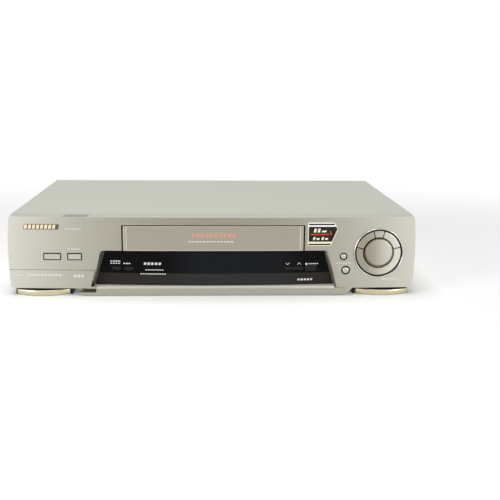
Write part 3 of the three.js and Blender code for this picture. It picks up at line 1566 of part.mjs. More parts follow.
// Loading poles: a base that runs on the deck, a key through its slot, and two poles
const guideBaseHalf = 6;
const guideBaseHeight = 3;
const guideKeyRadius = 1.7;
const guideRollerRadius = 3;
const guideTopZ = 49;
const guidePoleOffset = 4;
const guidePoleLean = 14;
const guidePoleRadius = 1.3;
for (const [name, side] of [['supply_guide', -1], ['takeup_guide', 1]]) {
  const pole = new THREE.CylinderGeometry(guidePoleRadius, guidePoleRadius, guideTopZ - restZ - guideBaseHeight, 10);
  pole.rotateX(Math.PI / 2 + guidePoleLean * radians);
  pole.translate(0, -guidePoleOffset - sheet, (guideTopZ + restZ) / 2);
  const carriage = joined(
    block(-guideBaseHalf, guideBaseHalf, -guideBaseHalf - sheet, guideBaseHalf, restZ, restZ + guideBaseHeight),
    rodZ(guideKeyRadius, deckZ - clearance, restZ + sheet, 0, 0, pinSteps),
    rodZ(guideKeyRadius / 2, restZ, guideTopZ, 0, sheet, 8),
    rodZ(guideRollerRadius, restZ + guideBaseHeight + clearance, guideTopZ - sheet, 0, sheet, 16),
    cut(solidOf(pole), block(-width, width, frontY, rearY, 0, restZ + sheet)),
  );
  piece(name, moved(carriage, at(side * guideStartX, guideStartY)), aluminium, mechanism);
}

// Heads: each a block on a foot
const headWidth = 12;
const headDepth = 8;
const headLowZ = 30;
const headHighZ = 46;
const eraseX = -57;
const eraseY = 40;
const audioX = 54;
const audioY = 41;
for (const [name, x, y, wide] of [['erase_head', eraseX, eraseY, headWidth * 0.8], ['audio_head', audioX, audioY, headWidth]]) {
  const nose = headDepth / 2;
  piece(name, joined(
    rodZ(headPostRadius * 2, restZ, headLowZ + sheet, x, y, pinSteps),
    block(x - wide / 2, x + wide / 2, y - nose, y + nose, headLowZ, headHighZ),
    rodZ(nose, headLowZ + sheet, headHighZ - sheet, x, y - nose / 2, 16),
  ), zincSteel, mechanism);
}

// Pinch arm, which swings the rubber roller against the capstan
const pinchReach = 29.1;
const pinchRestAngle = -74;
const pinchArmHalf = 3.2;
const pinchArmLift = 4;
const pinchBarThickness = 3.2;
const pinchRollerRadius = 6.4;
const pinchRollerHeight = 14;
const pinchRollerZ = 33;
const pinchX = pinchPivotX + pinchReach * Math.cos(pinchRestAngle * radians);
const pinchY = pinchPivotY + pinchReach * Math.sin(pinchRestAngle * radians);
const pinchArmZ = restZ + pinchArmLift;
const pinchBarTopZ = pinchArmZ + pinchBarThickness;
const armBar = new THREE.BoxGeometry(pinchReach, 2 * pinchArmHalf, pinchBarThickness);
armBar.translate(pinchReach / 2, 0, 0).rotateZ(pinchRestAngle * radians);
armBar.translate(pinchPivotX, pinchPivotY, pinchArmZ + pinchBarThickness / 2);
piece('pinch_arm', cut(
  joined(
    rodZ(pinchArmHalf, restZ, pinchBarTopZ, pinchPivotX, pinchPivotY, 16),
    rodZ(pinchArmHalf, pinchArmZ, pinchBarTopZ, pinchX, pinchY, 16),
    solidOf(armBar),
    rodZ(pivotRadius, pinchArmZ + sheet, pinchRollerZ + pinchRollerHeight + sheet, pinchX, pinchY, pinSteps),
    rodZ(pinchArmHalf, pinchArmZ + sheet, pinchRollerZ - clearance, pinchX, pinchY, 16),
  ),
  rodZ(pivotRadius + clearance, 0, pinTop(pinchPinHeight) + clearance, pinchPivotX, pinchPivotY, pinSteps),
), zincSteel, mechanism);
piece('pinch_roller', cut(
  rodZ(pinchRollerRadius, pinchRollerZ, pinchRollerZ + pinchRollerHeight, pinchX, pinchY, 24),
  rodZ(pivotRadius + clearance, 0, height, pinchX, pinchY, pinSteps),
), rubber, mechanism);

// Tension arm with its feeler pole
const tensionTipX = -48;
const tensionTipY = -2;
const tensionPoleZ = 47;
const tensionLength = Math.hypot(tensionTipX - tensionPivotX, tensionTipY - tensionPivotY);
const tensionAngle = Math.atan2(tensionTipY - tensionPivotY, tensionTipX - tensionPivotX);
const tensionBar = new THREE.BoxGeometry(tensionLength, 2 * armHalf * 0.7, armThickness);
tensionBar.translate(tensionLength / 2, 0, 0).rotateZ(tensionAngle);
tensionBar.translate(tensionPivotX, tensionPivotY, restZ + armThickness / 2);
piece('tension_arm', cut(
  joined(
    solidOf(tensionBar),
    rodZ(armHalf, restZ, restZ + tensionPinHeight - sheet, tensionPivotX, tensionPivotY, 16),
    rodZ(armHalf * 0.7, restZ, restZ + armThickness, tensionTipX, tensionTipY, pinSteps),
    rodZ(headPostRadius, restZ + armThickness / 2, tensionPoleZ, tensionTipX, tensionTipY, pinSteps),
  ),
  rodZ(pivotRadius + clearance, 0, height, tensionPivotX, tensionPivotY, pinSteps),
), zincSteel, mechanism);

// Loading motor, worm and cam gear
piece('loading_motor', joined(
  rodX(motorRadius, motorFrontX, motorFrontX + motorLength, wormY, wormZ, 24),
  block(
    motorFrontX + motorRadius / 2, motorFrontX + motorLength - motorRadius / 2, wormY - motorRadius / 2,
    wormY + motorRadius / 2, restZ, wormZ,
  ),
), zincSteel, mechanism);

const wormTurns = 4;
const wormStepsPerTurn = 8;
const wormSides = 6;
const wormCoreRadius = 3;
const wormOffset = wormTipRadius - wormCoreRadius;
const wormThreadLeftX = camX - (wormPitch * wormTurns) / 2;
const wormRings = spread(0, wormTurns, wormTurns * wormStepsPerTurn).map((turns) => {
  const lean = 2 * Math.PI * turns;
  return spread(0, wormSides - 1, wormSides - 1).map((side) => {
    const angle = (2 * Math.PI * side) / wormSides;
    return [
      wormThreadLeftX + wormPitch * turns,
      wormY + wormOffset * Math.cos(lean) + wormCoreRadius * Math.cos(angle),
      wormZ + wormOffset * Math.sin(lean) + wormCoreRadius * Math.sin(angle),
    ];
  });
});
piece('worm', joined(
  lofted(wormRings),
  rodX(wormShaft, wormLeftX + sheet, motorFrontX - clearance, wormY, wormZ, pinSteps),
), whitePlastic, mechanism);

const camHalfThickness = 2;
const camHubRadius = 5;
const camSlotRadius = 9;
piece('cam_gear', moved(cut(
  joined(
    alongZ(
      gearShape(camTeeth, camRootRadius, camTipRadius), wormZ - camHalfThickness, wormZ + camHalfThickness,
    ),
    rodZ(camHubRadius, restZ, wormZ, 0, 0, 16),
  ),
  rodZ(pivotRadius + clearance, 0, pinTop(camPinHeight) + clearance, 0, 0, pinSteps),
  rodZ(pivotRadius, wormZ, height, camSlotRadius, 0, pinSteps),
), at(camX, camY)), whitePlastic, mechanism);

// Cassette carriage. The slider's pins run level in the slots of two guide plates, and the
// holder's pins run up and down in the slots of the slider.
const holderDepth = 42;
const holderFrontY = -104;
const holderTopRoom = 0.9;
const holderLip = 14;
const sliderHalfDepth = 12;
const sliderPinZ = 72.5;
const sliderPinOffset = 8;
const bracketTopZ = 79;
const bracketEnd = 6;
const bracketWindowZ = 32;
const bracketWindowHeight = 26;
const bracketWindowCorner = 4;
const carriageTravel = 76;
const carriageDrop = 19.5;
const carriagePinRadius = 2;
const holderPinZ = 60;
const slotRoom = 0.35;
const bridgeZ = 79.6;
const bridgeThickness = 1.2;

const holderFloorZ = cassetteInZ - holderSheet;
const holderCeilingZ = cassetteInZ + cassetteHeight + holderTopRoom;
const holderBackY = holderFrontY + holderDepth;
const carriageY = holderFrontY + holderDepth / 2;
const pinSlot = carriagePinRadius + slotRoom;

// A rod along X on one side, between two distances from the middle
function sideRod(side, from, to, y, z) {
  const [x0, x1] = [Math.min(side * from, side * to), Math.max(side * from, side * to)];
  return rodX(carriagePinRadius, x0, x1, y, z, pinSteps);
}

function sidePlate(side, from, to, ...rest) {
  return block(Math.min(side * from, side * to), Math.max(side * from, side * to), ...rest);
}

piece('cassette_holder', joined(
  cut(
    block(-holderOuter, holderOuter, holderFrontY, holderBackY, holderFloorZ, holderCeilingZ + holderSheet),
    block(
      -holderInner, holderInner, holderFrontY - overrun, holderBackY + overrun, cassetteInZ, holderCeilingZ,
    ),
    block(
      -holderInner + holderLip, holderInner - holderLip, holderFrontY - overrun, holderBackY + overrun,
      holderFloorZ - overrun, cassetteInZ + overrun,
    ),
  ),
  ...[-1, 1].map((side) => sideRod(side, holderOuter - holderSheet / 2, sliderOuter, carriageY, holderPinZ)),
), zincSteel, mechanism);

const sliderLowZ = holderPinZ - carriageDrop - pinSlot - 2 * sheet;
const sliderFrontY = carriageY - sliderHalfDepth;
const sliderBackY = carriageY + sliderHalfDepth;
piece('carriage_slider', joined(
  cut(
    joined(
      block(-sliderOuter, sliderOuter, sliderFrontY, sliderBackY, bridgeZ, bridgeZ + bridgeThickness),
      ...[-1, 1].map((side) => sidePlate(
        side, sliderInner, sliderOuter, sliderFrontY, sliderBackY, sliderLowZ, bridgeZ + bridgeThickness,
      )),
    ),
    block(
      -width, width, carriageY - pinSlot, carriageY + pinSlot,
      holderPinZ - carriageDrop - pinSlot, holderPinZ + pinSlot,
    ),
  ),
  ...[-1, 1].flatMap((side) => [-1, 1].map((end) => sideRod(
    side, sliderInner, bracketOuter + clearance, carriageY + end * sliderPinOffset, sliderPinZ,
  ))),
), zincSteel, mechanism);

const runFrontY = carriageY - sliderPinOffset - pinSlot;
const runBackY = carriageY + carriageTravel + sliderPinOffset + pinSlot;
const bracketWindow = alongX(roundedBox(
  deckFrontY + bracketWindowZ - deckZ, runBackY + bracketEnd + deckZ - bracketWindowZ,
  bracketWindowZ, bracketWindowZ + bracketWindowHeight, bracketWindowCorner,
), -width, width, 3);
for (const [word, side] of [['left', -1], ['right', 1]]) {
  piece(`carriage_${word}_bracket`, cut(
    joined(
      sidePlate(side, bracketInner, bracketOuter, deckFrontY, runBackY + bracketEnd, restZ, bracketTopZ),
      sidePlate(
        side, bracketInner, bracketOuter + bracketFoot, deckFrontY, runBackY + bracketEnd, restZ, restZ + bracketSheet,
      ),
    ),
    bracketWindow,
    sidePlate(
      side, bracketInner - overrun, bracketOuter + overrun, runFrontY, runBackY,
      sliderPinZ - pinSlot, sliderPinZ + pinSlot,
    ),
  ), zincSteel, mechanism);
}

export default recorder;
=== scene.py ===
import math

import bmesh
import bpy
import numpy as np
from mathutils import Matrix, Vector


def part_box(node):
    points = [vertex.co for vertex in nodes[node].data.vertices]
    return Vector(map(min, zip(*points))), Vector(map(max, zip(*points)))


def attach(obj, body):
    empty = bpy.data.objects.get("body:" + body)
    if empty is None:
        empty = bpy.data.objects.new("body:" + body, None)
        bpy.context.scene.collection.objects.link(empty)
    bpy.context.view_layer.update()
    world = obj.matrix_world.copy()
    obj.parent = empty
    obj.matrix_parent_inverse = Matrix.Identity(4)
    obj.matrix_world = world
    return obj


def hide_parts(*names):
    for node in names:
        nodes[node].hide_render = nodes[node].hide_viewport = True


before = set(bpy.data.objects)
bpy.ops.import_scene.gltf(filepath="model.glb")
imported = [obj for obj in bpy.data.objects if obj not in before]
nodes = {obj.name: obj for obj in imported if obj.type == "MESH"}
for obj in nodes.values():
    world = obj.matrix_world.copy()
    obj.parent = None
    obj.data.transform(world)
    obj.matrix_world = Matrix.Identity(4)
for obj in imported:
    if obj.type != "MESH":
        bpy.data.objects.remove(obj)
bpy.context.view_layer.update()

# Studio. The recorder stands on a white table in a white room, lit by two wide
# soft boxes in front and one above. The camera stands a metre away, a little
# higher than the cover, and looks down at it.
MM = 0.001
camera_at = (-5.86 * MM, -987.17 * MM, 236.5 * MM)
looks_down, looks_right, leans = 0.1870, 0.0396, 0.0080
lens_pixels, picture_pixels, sensor = 822.57, 500, 36

camera_data = bpy.data.cameras.new("studio_camera")
camera_data.sensor_width = sensor
camera_data.lens = lens_pixels / picture_pixels * sensor
camera_data.shift_x, camera_data.shift_y = 0.02, -0.05
camera_data.clip_start, camera_data.clip_end = 0.05, 50
camera = bpy.data.objects.new("studio_camera", camera_data)
camera.matrix_world = (
    Matrix.Translation(camera_at)
    @ Matrix.Rotation(-looks_right, 4, "Z")
    @ Matrix.Rotation(math.pi / 2 - looks_down, 4, "X")
    @ Matrix.Rotation(leans, 4, "Z")
)
bpy.context.scene.collection.objects.link(camera)
bpy.context.scene.camera = camera
bpy.context.scene.view_settings.view_transform = "Standard"


def colour(code):
    """A colour written as #RRGGBB, as linear red, green, blue and alpha:
    c / 12.92 below 0.04045, else ((c + 0.055) / 1.055) to the power 2.4."""
    steps = np.array([int(code[i:i + 2], 16) for i in (1, 3, 5)]) / 255
    linear = np.where(steps < 0.04045, steps / 12.92, ((steps + 0.055) / 1.055) ** 2.4)
    return (*linear.tolist(), 1.0)


class Tone:
    """One socket of a finish, written as a number: + - * / ** on it add Math nodes."""

    def __init__(self, finish, socket):
        self.finish, self.socket = finish, socket

    def maths(self, operation, *numbers):
        return self.finish.node("ShaderNodeMath", {"operation": operation}, dict(enumerate(numbers)))

    def __add__(self, other):
        return self.maths("ADD", self, other)

    def __radd__(self, other):
        return self.maths("ADD", other, self)

    def __sub__(self, other):
        return self.maths("SUBTRACT", self, other)

    def __rsub__(self, other):
        return self.maths("SUBTRACT", other, self)

    def __mul__(self, other):
        return self.maths("MULTIPLY", self, other)

    def __rmul__(self, other):
        return self.maths("MULTIPLY", other, self)

    def __pow__(self, other):
        return self.maths("POWER", self, other)

    def __gt__(self, other):
        return self.maths("GREATER_THAN", self, other)

    def __lt__(self, other):
        return self.maths("LESS_THAN", self, other)

    def least(self, other):
        return self.maths("MINIMUM", self, other)

    def most(self, other):
        return self.maths("MAXIMUM", self, other)


class Finish:
    """A material: one Principled shader, or the shader named, whose constants sit on its own sockets."""

    def __init__(self, name, shader="ShaderNodeBsdfPrincipled", **constants):
        self.material = bpy.data.materials.new(name)
        self.material.use_nodes = True
        self.tree = self.material.node_tree
        self.tree.nodes.clear()
        self.surface = self.tree.nodes.new(shader)
        out = self.tree.nodes.new("ShaderNodeOutputMaterial")
        self.tree.links.new(self.surface.outputs[0], out.inputs["Surface"])
        self.feed(**constants)

    def fill(self, node, socket, value):
        """Links a tone to a node's socket, or sets the socket to a plain value."""
        if isinstance(value, Tone):
            self.tree.links.new(value.socket, node.inputs[socket])
        else:
            node.inputs[socket].default_value = value

    def feed(self, **sockets):
        """Fills the shader's sockets, whose names are written with _ for a space."""
        for name, value in sockets.items():
            self.fill(self.surface, name.replace("_", " "), value)
        return self

    def node(self, kind, settings=None, sockets=None, output=0):
        """Adds a node, makes its settings, then fills its sockets, and gives one of its outputs."""
        node = self.tree.nodes.new(kind)
        for name, value in (settings or {}).items():
            setattr(node, name, value)
        for socket, value in (sockets or {}).items():
            self.fill(node, socket, value)
        return Tone(self, node.outputs[output])

    def place(self, scale=(1, 1, 1), at=(0, 0, 0)):
        """The point on the piece in metres, stretched by scale and then moved by at."""
        here = self.node("ShaderNodeTexCoord", output="Object")
        return self.node("ShaderNodeMapping", None, {"Vector": here, "Location": at, "Scale": scale})

    def axis(self, letter):
        """One of the point's three numbers, in metres."""
        return self.node("ShaderNodeSeparateXYZ", None, {0: self.place()}, letter)

    def noise(self, size, detail=2.0, rough=0.5, scale=(1, 1, 1)):
        """Soft noise from 0 to 1 whose lumps are about size metres wide where scale is 1, and
        longer along an axis whose scale is less."""
        return self.node(
            "ShaderNodeTexNoise", None,
            {"Vector": self.place(scale), "Scale": 1 / size, "Detail": detail, "Roughness": rough},
        )

    def mix(self, share, first, second):
        """A colour between two colours."""
        return self.node(
            "ShaderNodeMix", {"data_type": "RGBA", "clamp_factor": True}, {0: share, 6: first, 7: second}, 2
        )

    def between(self, number, low, high):
        """A number from 0 to 1 taken to low at 0 and high at 1."""
        return number * (high - low) + low

    def step(self, number, low, high):
        """0 below low, 1 above high, and smooth between them."""
        return self.node(
            "ShaderNodeMapRange", {"interpolation_type": "SMOOTHSTEP"},
            {"Value": number, "From Min": low, "From Max": high},
        )

    def relief(self, height, deep, strength=1.0):
        """Bumps the surface by height, where 1 stands deep metres proud."""
        bumped = self.node("ShaderNodeBump", None, {"Height": height, "Distance": deep, "Strength": strength})
        return self.feed(Normal=bumped)


def merged(mesh):
    """The mesh with its doubled points merged."""
    work = bmesh.new()
    work.from_mesh(mesh)
    bmesh.ops.remove_doubles(work, verts=work.verts, dist=0.5e-6)
    return work


def new_piece(name, points, faces, finish, body="root", smooth=True):
    """Makes a mesh piece from arrays of points in millimetres and of faces, merges its doubled
    points, turns the faces of a closed one outward, and lets it ride on a body."""
    crease_degrees = 40
    mesh = bpy.data.meshes.new(name)
    points = np.asarray(points, float).reshape(-1, 3) * MM
    mesh.from_pydata(points.tolist(), [], [list(map(int, face)) for face in faces])
    work = merged(mesh)
    if body:
        bmesh.ops.recalc_face_normals(work, faces=work.faces)
    work.to_mesh(mesh)
    work.free()
    mesh.polygons.foreach_set("use_smooth", np.full(len(mesh.polygons), smooth))
    if smooth:
        mesh.set_sharp_from_angle(angle=math.radians(crease_degrees))
    mesh.materials.append(finish.material)
    made = bpy.data.objects.new(name, mesh)
    bpy.context.scene.collection.objects.link(made)
    if body:
        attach(made, body)
    return made


table_half, table_lift = 4000, 0.16
table_fade_from, table_fade_to = 0.32, 0.75
table_white = Finish("table_white", "ShaderNodeMixShader")
seen = table_white.node("ShaderNodeLightPath", output="Is Camera Ray")
gloss = table_white.node("ShaderNodeLightPath", output="Is Glossy Ray")
through = table_white.node("ShaderNodeLightPath", output="Is Transmission Ray")
shown = seen + gloss + through
paper_grain = table_white.noise(0.0006)
from_middle = table_white.node(
    "ShaderNodeVectorMath", {"operation": "LENGTH"}, {0: table_white.place(scale=(0.7, 1, 1))}, 1
)
paper = table_white.node(
    "ShaderNodeBsdfDiffuse", None,
    {"Color": table_white.mix(paper_grain, (0.88, 0.88, 0.88, 1), (0.90, 0.90, 0.90, 1))},
)
lift = table_white.node(
    "ShaderNodeEmission", None, {"Color": (1, 1, 1, 1), "Strength": shown * table_lift}
)
sweep = table_white.node("ShaderNodeEmission", None, {"Color": (1, 1, 1, 1), "Strength": 1.0})
faded = table_white.step(from_middle, table_fade_from, table_fade_to)
table_white.fill(table_white.surface, 0, shown * faded)
table_white.fill(table_white.surface, 1, table_white.node("ShaderNodeAddShader", None, {0: paper, 1: lift}))
table_white.fill(table_white.surface, 2, sweep)
table_corners = table_half * np.array([(-1, -1, 0), (1, -1, 0), (1, 1, 0), (-1, 1, 0)])
table = new_piece("table", table_corners, [(0, 1, 2, 3)], table_white, body=None, smooth=False)

room_fill = 0.27
room = bpy.data.worlds.new("white_room")
room.use_nodes = True
bpy.context.scene.world = room
room_nodes, room_links = room.node_tree.nodes, room.node_tree.links
room_nodes.clear()
ray = room_nodes.new("ShaderNodeLightPath")
shown_rays = ray.outputs["Is Camera Ray"]
for kind in ("Is Glossy Ray", "Is Transmission Ray"):
    either = room_nodes.new("ShaderNodeMath")
    either.operation, either.use_clamp = "ADD", True
    room_links.new(shown_rays, either.inputs[0])
    room_links.new(ray.outputs[kind], either.inputs[1])
    shown_rays = either.outputs[0]
chosen = room_nodes.new("ShaderNodeMixShader")
room_links.new(shown_rays, chosen.inputs[0])
for socket, strength in ((1, room_fill), (2, 1.0)):
    white = room_nodes.new("ShaderNodeBackground")
    white.inputs["Color"].default_value = (1, 1, 1, 1)
    white.inputs["Strength"].default_value = strength
    room_links.new(white.outputs[0], chosen.inputs[socket])
room_out = room_nodes.new("ShaderNodeOutputWorld")
room_links.new(chosen.outputs[0], room_out.inputs["Surface"])

soft_boxes = {
    # name: place in mm, where it points, width and height in mm, power in watts
    "left_soft_box": ((-1150, -1050, 420), (0, -140, 40), 700, 900, 11),
    "right_soft_box": ((1200, -1150, 420), (0, -140, 40), 600, 900, 8),
    "top_soft_box": ((-120, -60, 1900), (0, -60, 40), 1400, 1000, 20),
}
for name, (at, towards, wide, high, power) in soft_boxes.items():
    lamp = bpy.data.lights.new(name, "AREA")
    lamp.shape, lamp.size, lamp.size_y, lamp.energy = "RECTANGLE", wide * MM, high * MM, power
    box = bpy.data.objects.new(name, lamp)
    turn = (Vector(at) - Vector(towards)).to_track_quat("Z", "Y").to_matrix().to_4x4()
    box.matrix_world = Matrix.Translation(Vector(at) * MM) @ turn
    bpy.context.scene.collection.objects.link(box)

# Chassis and rear plate. Pressed from 0.8 mm hot-dip zinc-coated steel, whose
# zinc has frozen into flat grey crystals a few millimetres wide. The can of the
# aerial unit is folded from the same sheet.
crystal_size = 0.005
zinc = Finish("zinc_coated_steel", Metallic=0.85)
crystal = zinc.node(
    "ShaderNodeTexVoronoi", {"feature": "F1"}, {"Vector": zinc.place(), "Scale": 1 / crystal_size}, "Color"
)
facet = zinc.node("ShaderNodeSeparateColor", None, {0: crystal}, 0)
scuff = zinc.noise(0.0008, 4, scale=(1, 0.08, 1))
zinc.feed(
    Base_Color=zinc.mix(facet * 0.6 + scuff * 0.4, colour("#989B9C"), colour("#B4B7B7")),
    Roughness=zinc.between(facet, 0.3, 0.48),
)
zinc.relief(scuff, 0.00002)


def dress(finish, *names):
    """Gives CAD nodes a finish, in place of the plain one that they were packed with."""
    for name in names:
        materials = nodes[name].data.materials
        materials.clear()
        materials.append(finish.material)


dress(zinc, "chassis", "rear_panel", "rf_unit")

# Feet. The front pair is black moulded plastic, the rear pair is the same and
# pressed into the pan; their faces carry a fine spark texture. The bodies of
# the sockets, the idler gear and the pinch arm are moulded alike.
black_moulded = Finish("black_moulded_plastic", Specular_IOR_Level=0.4)
pits = black_moulded.noise(0.0005, 3, 0.6)
black_moulded.feed(
    Base_Color=black_moulded.mix(black_moulded.noise(0.012), colour("#161615"), colour("#20201F")),
    Roughness=black_moulded.between(pits, 0.45, 0.65),
)
black_moulded.relief(pits, 0.00003, 0.6)
dress(
    black_moulded, "front_foot_left", "front_foot_right", "rear_foot_left", "rear_foot_right",
    "av1_socket", "av2_socket", "audio_out_jacks", "ac_inlet", "idler_gear", "pinch_arm",
    "front_av_jacks",
)


def read(items, attribute, width=3, kind=float):
    """An attribute of all of a mesh's points, corners or faces, one row each, width numbers wide."""
    values = np.empty(len(items) * width, kind)
    items.foreach_get(attribute, values)
    return values.reshape(-1, width)


def lay_bows(mesh, normals, bows):
    """Writes the exact normals of curved faces over those of the corners on them. Each bow is a
    test for the corners that lie on such a face and the formula of its normal; a corner takes
    it where its whole polygon lies there and looks the same way."""
    corners = read(mesh.vertices, "co")[read(mesh.loops, "vertex_index", 1, int)[:, 0]] / MM
    totals = read(mesh.polygons, "loop_total", 1, int)[:, 0]
    polygon = np.repeat(np.arange(len(totals)), totals)
    facing = read(mesh.polygons, "normal")[polygon]
    for lies_on, normal_of in bows:
        whole = np.bincount(polygon, weights=~lies_on(corners), minlength=len(totals)) == 0
        exact = normal_of(corners)
        chosen_corners = whole[polygon] & ((exact * facing).sum(1) > 0.9)
        normals[chosen_corners] = exact[chosen_corners]


def softened(name, finish, body="root", bows=(), reshape=None):
    """Stands for a CAD node with a merged copy of its mesh, whose normals run smoothly over its
    flatter edges and are exact on the bows; reshape takes the copy's points to new ones."""
    crease_degrees = 32
    mesh = nodes[name].data.copy()
    mesh.name = name + "_skin"
    work = merged(mesh)
    work.to_mesh(mesh)
    work.free()
    if reshape:
        mesh.vertices.foreach_set("co", (reshape(read(mesh.vertices, "co") / MM) * MM).ravel())
        mesh.update()
    mesh.materials.clear()
    mesh.materials.append(finish.material)
    mesh.polygons.foreach_set("use_smooth", np.full(len(mesh.polygons), True))
    mesh.set_sharp_from_angle(angle=math.radians(crease_degrees))
    skin = bpy.data.objects.new(name + "_skin", mesh)
    bpy.context.scene.collection.objects.link(skin)
    evener = skin.modifiers.new("evener", "WEIGHTED_NORMAL")
    evener.mode, evener.weight, evener.keep_sharp = "FACE_AREA", 100, True
    evened = skin.evaluated_get(bpy.context.evaluated_depsgraph_get()).data
    normals = read(evened.corner_normals, "vector")
    skin.modifiers.clear()
    lay_bows(mesh, normals, bows)
    mesh.normals_split_custom_set(normals.tolist())
    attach(skin, body)
    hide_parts(name)


# Boards. The main board is green glass laminate, the power and operation boards are tan
# paper laminate; copper tracks and solder pads show as paler marks under the lacquer. The
# transformer beside them is wound with enamelled copper wire.
track_pitch, pad_pitch, board_top = 2.4, 4.5, 12.62


def laminate(name, ground, track, parts=None, upward="Y"):
    """Parallel tracks from a sine along x or along the board's other side, changing over between
    patches of noise, with round pads at random. Where parts is a colour, all that stands above
    the board's top has it."""
    board = Finish(name)
    waves = 2 * math.pi / (track_pitch * MM)
    across, along = board.axis("X") * waves, board.axis(upward) * waves
    turned_patch = board.noise(0.022, 1) > 0.5
    tracks = turned_patch * (across.maths("SINE", across) > 0.3)
    tracks = tracks + (1 - turned_patch) * (along.maths("SINE", along) > 0.3)
    pads = {"Vector": board.place(), "Scale": 1 / (pad_pitch * MM)}
    from_pad = board.node("ShaderNodeTexVoronoi", None, pads)
    copper = tracks * (board.noise(0.012, 1) > 0.44)
    shade = board.mix(copper.most(from_pad < 0.2), colour(ground), colour(track))
    if parts:
        shade = board.mix(board.axis("Z") > board_top * MM, shade, colour(parts))
    board.feed(Base_Color=shade, Roughness=board.between(board.noise(0.0007), 0.35, 0.55))
    return board.relief(copper, 0.00004)


dress(laminate("main_laminate", "#2B4C2D", "#43683C", "#2A2A2B"), "main_board")
dress(laminate("power_laminate", "#A07E45", "#B18F52", "#303033"), "power_board")
dress(laminate("operation_laminate", "#A07E45", "#B18F52", upward="Z"), "operation_board")

winding = Finish("transformer_winding", Roughness=0.5)
turns = winding.node(
    "ShaderNodeTexWave", {"wave_type": "BANDS", "bands_direction": "Z"},
    {"Vector": winding.place(), "Scale": 160.0, "Distortion": 0.4},
)
winding.feed(Base_Color=winding.mix(turns, colour("#4A4A4E"), colour("#8A6A3A")))
winding.relief(turns, 0.0001)
dress(winding, "power_transformer")

# Mechanism. A zinc-plated deck carries a turned aluminium drum, white and black
# moulded reels and gears, and plated steel arms.
def grained(name, dull, light, smooth, rough, size=0.0004, detail=2, scale=(1, 1, 1), relief=0, **constants):
    """A finish whose colour and roughness both follow one fine noise, size metres wide, which
    also stands relief metres proud where that is given."""
    finish = Finish(name, **constants)
    grain = finish.noise(size, detail, scale=scale)
    finish.feed(
        Base_Color=finish.mix(grain, colour(dull), colour(light)),
        Roughness=finish.between(grain, smooth, rough),
    )
    if relief:
        finish.relief(grain, relief)
    return finish


deck_steel = grained(
    "plated_deck_steel", "#A6A7A2", "#C0C0BA", 0.28, 0.42,
    size=0.0006, detail=4, scale=(0.06, 1, 1), relief=0.000015, Metallic=0.9,
)
dress(
    deck_steel, "mech_deck", "carriage_left_bracket", "carriage_right_bracket", "carriage_slider",
    "cassette_holder", "tension_arm", "idler_arm",
)


def turned_aluminium(node):
    """Turned metal with the tool's fine rings: shells round the node's middle cut any surface
    of revolution about it in circles."""
    metal = Finish(f"turned_{node}", Metallic=1.0)
    middle = -np.mean(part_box(node), axis=0)
    rings = metal.node(
        "ShaderNodeTexWave", {"wave_type": "RINGS", "rings_direction": "SPHERICAL"},
        {"Vector": metal.place(at=middle.tolist()), "Scale": 380.0},
    )
    metal.feed(
        Base_Color=metal.mix(rings, colour("#BFC1C1"), colour("#CFD0CF")),
        Roughness=metal.between(rings, 0.18, 0.3),
    )
    dress(metal.relief(rings, 0.000006), node)


for name in ("upper_drum", "lower_drum", "capstan_flywheel", "loading_motor"):
    turned_aluminium(name)

white_moulded = Finish("white_moulded_plastic")
specks = white_moulded.noise(0.0006, 3)
white_moulded.feed(
    Base_Color=white_moulded.mix(white_moulded.noise(0.01), colour("#DAD8CE"), colour("#E8E6DF")),
    Roughness=white_moulded.between(specks, 0.36, 0.5),
)
white_moulded.relief(specks, 0.00002, 0.6)
dress(white_moulded, "supply_reel", "takeup_reel", "cam_gear", "worm", "supply_guide", "takeup_guide")

rubber = grained("pinch_rubber", "#121212", "#1E1E1E", 0.7, 0.9, detail=3, relief=0.00004)
dress(rubber, "pinch_roller")

head_metal = grained(
    "head_metal", "#77787A", "#97989A", 0.2, 0.35,
    size=0.0005, detail=3, scale=(1, 1, 0.1), relief=0.00001, Metallic=0.9,
)
dress(head_metal, "erase_head", "audio_head")

# Display tube. A glass envelope with a dark filter coat, cemented to the
# operation board behind the window.
mesh_pitch = 0.002
tube_glass = Finish("display_tube_glass", Roughness=0.12, Coat_Weight=0.4)
mesh_grid = tube_glass.node(
    "ShaderNodeTexVoronoi", {"feature": "DISTANCE_TO_EDGE"},
    {"Vector": tube_glass.place(), "Scale": 1 / mesh_pitch},
)
tube_glass.feed(
    Base_Color=tube_glass.mix(tube_glass.step(mesh_grid, 0.02, 0.08), colour("#2A2E30"), colour("#15181A")),
)
dress(tube_glass.relief(mesh_grid, 0.00003), "display_tube")

# Front panel. Injection-moulded in one piece and sprayed in a fine champagne metallic. The
# walls inside its openings are painted near black as the shade in the gaps; the paint lightens
# towards both ends as a painted highlight, and its upper strip, chin and the ledge under the
# window are painted lighter as light falls on them. It snaps over the pan.
panel_bow, body_width, panel_front = 5, 430, -143
flake_size, paint_metal = 0.00035, 0.75


def face_y(x):
    """Where the panel's face lies: the front plane plus the bow times the square of x as a
    share of the half width."""
    return panel_front + panel_bow * (2 * x / body_width) ** 2


def unit(ways):
    """Each way, a row of three numbers, over its length."""
    return ways / np.maximum(np.linalg.norm(ways, axis=1, keepdims=True), 1e-9)


def bowed_normal(slope):
    """The outward normals of an upright front that is bowed in plan: its slope along x, then -1."""
    return unit(np.stack([slope, -np.ones(len(slope)), np.zeros(len(slope))], 1))


def face_normal(corners):
    """The face's outward normal, from its slope: 8 times the bow times x over the width squared."""
    return bowed_normal(8 * panel_bow * corners[:, 0] / body_width ** 2)


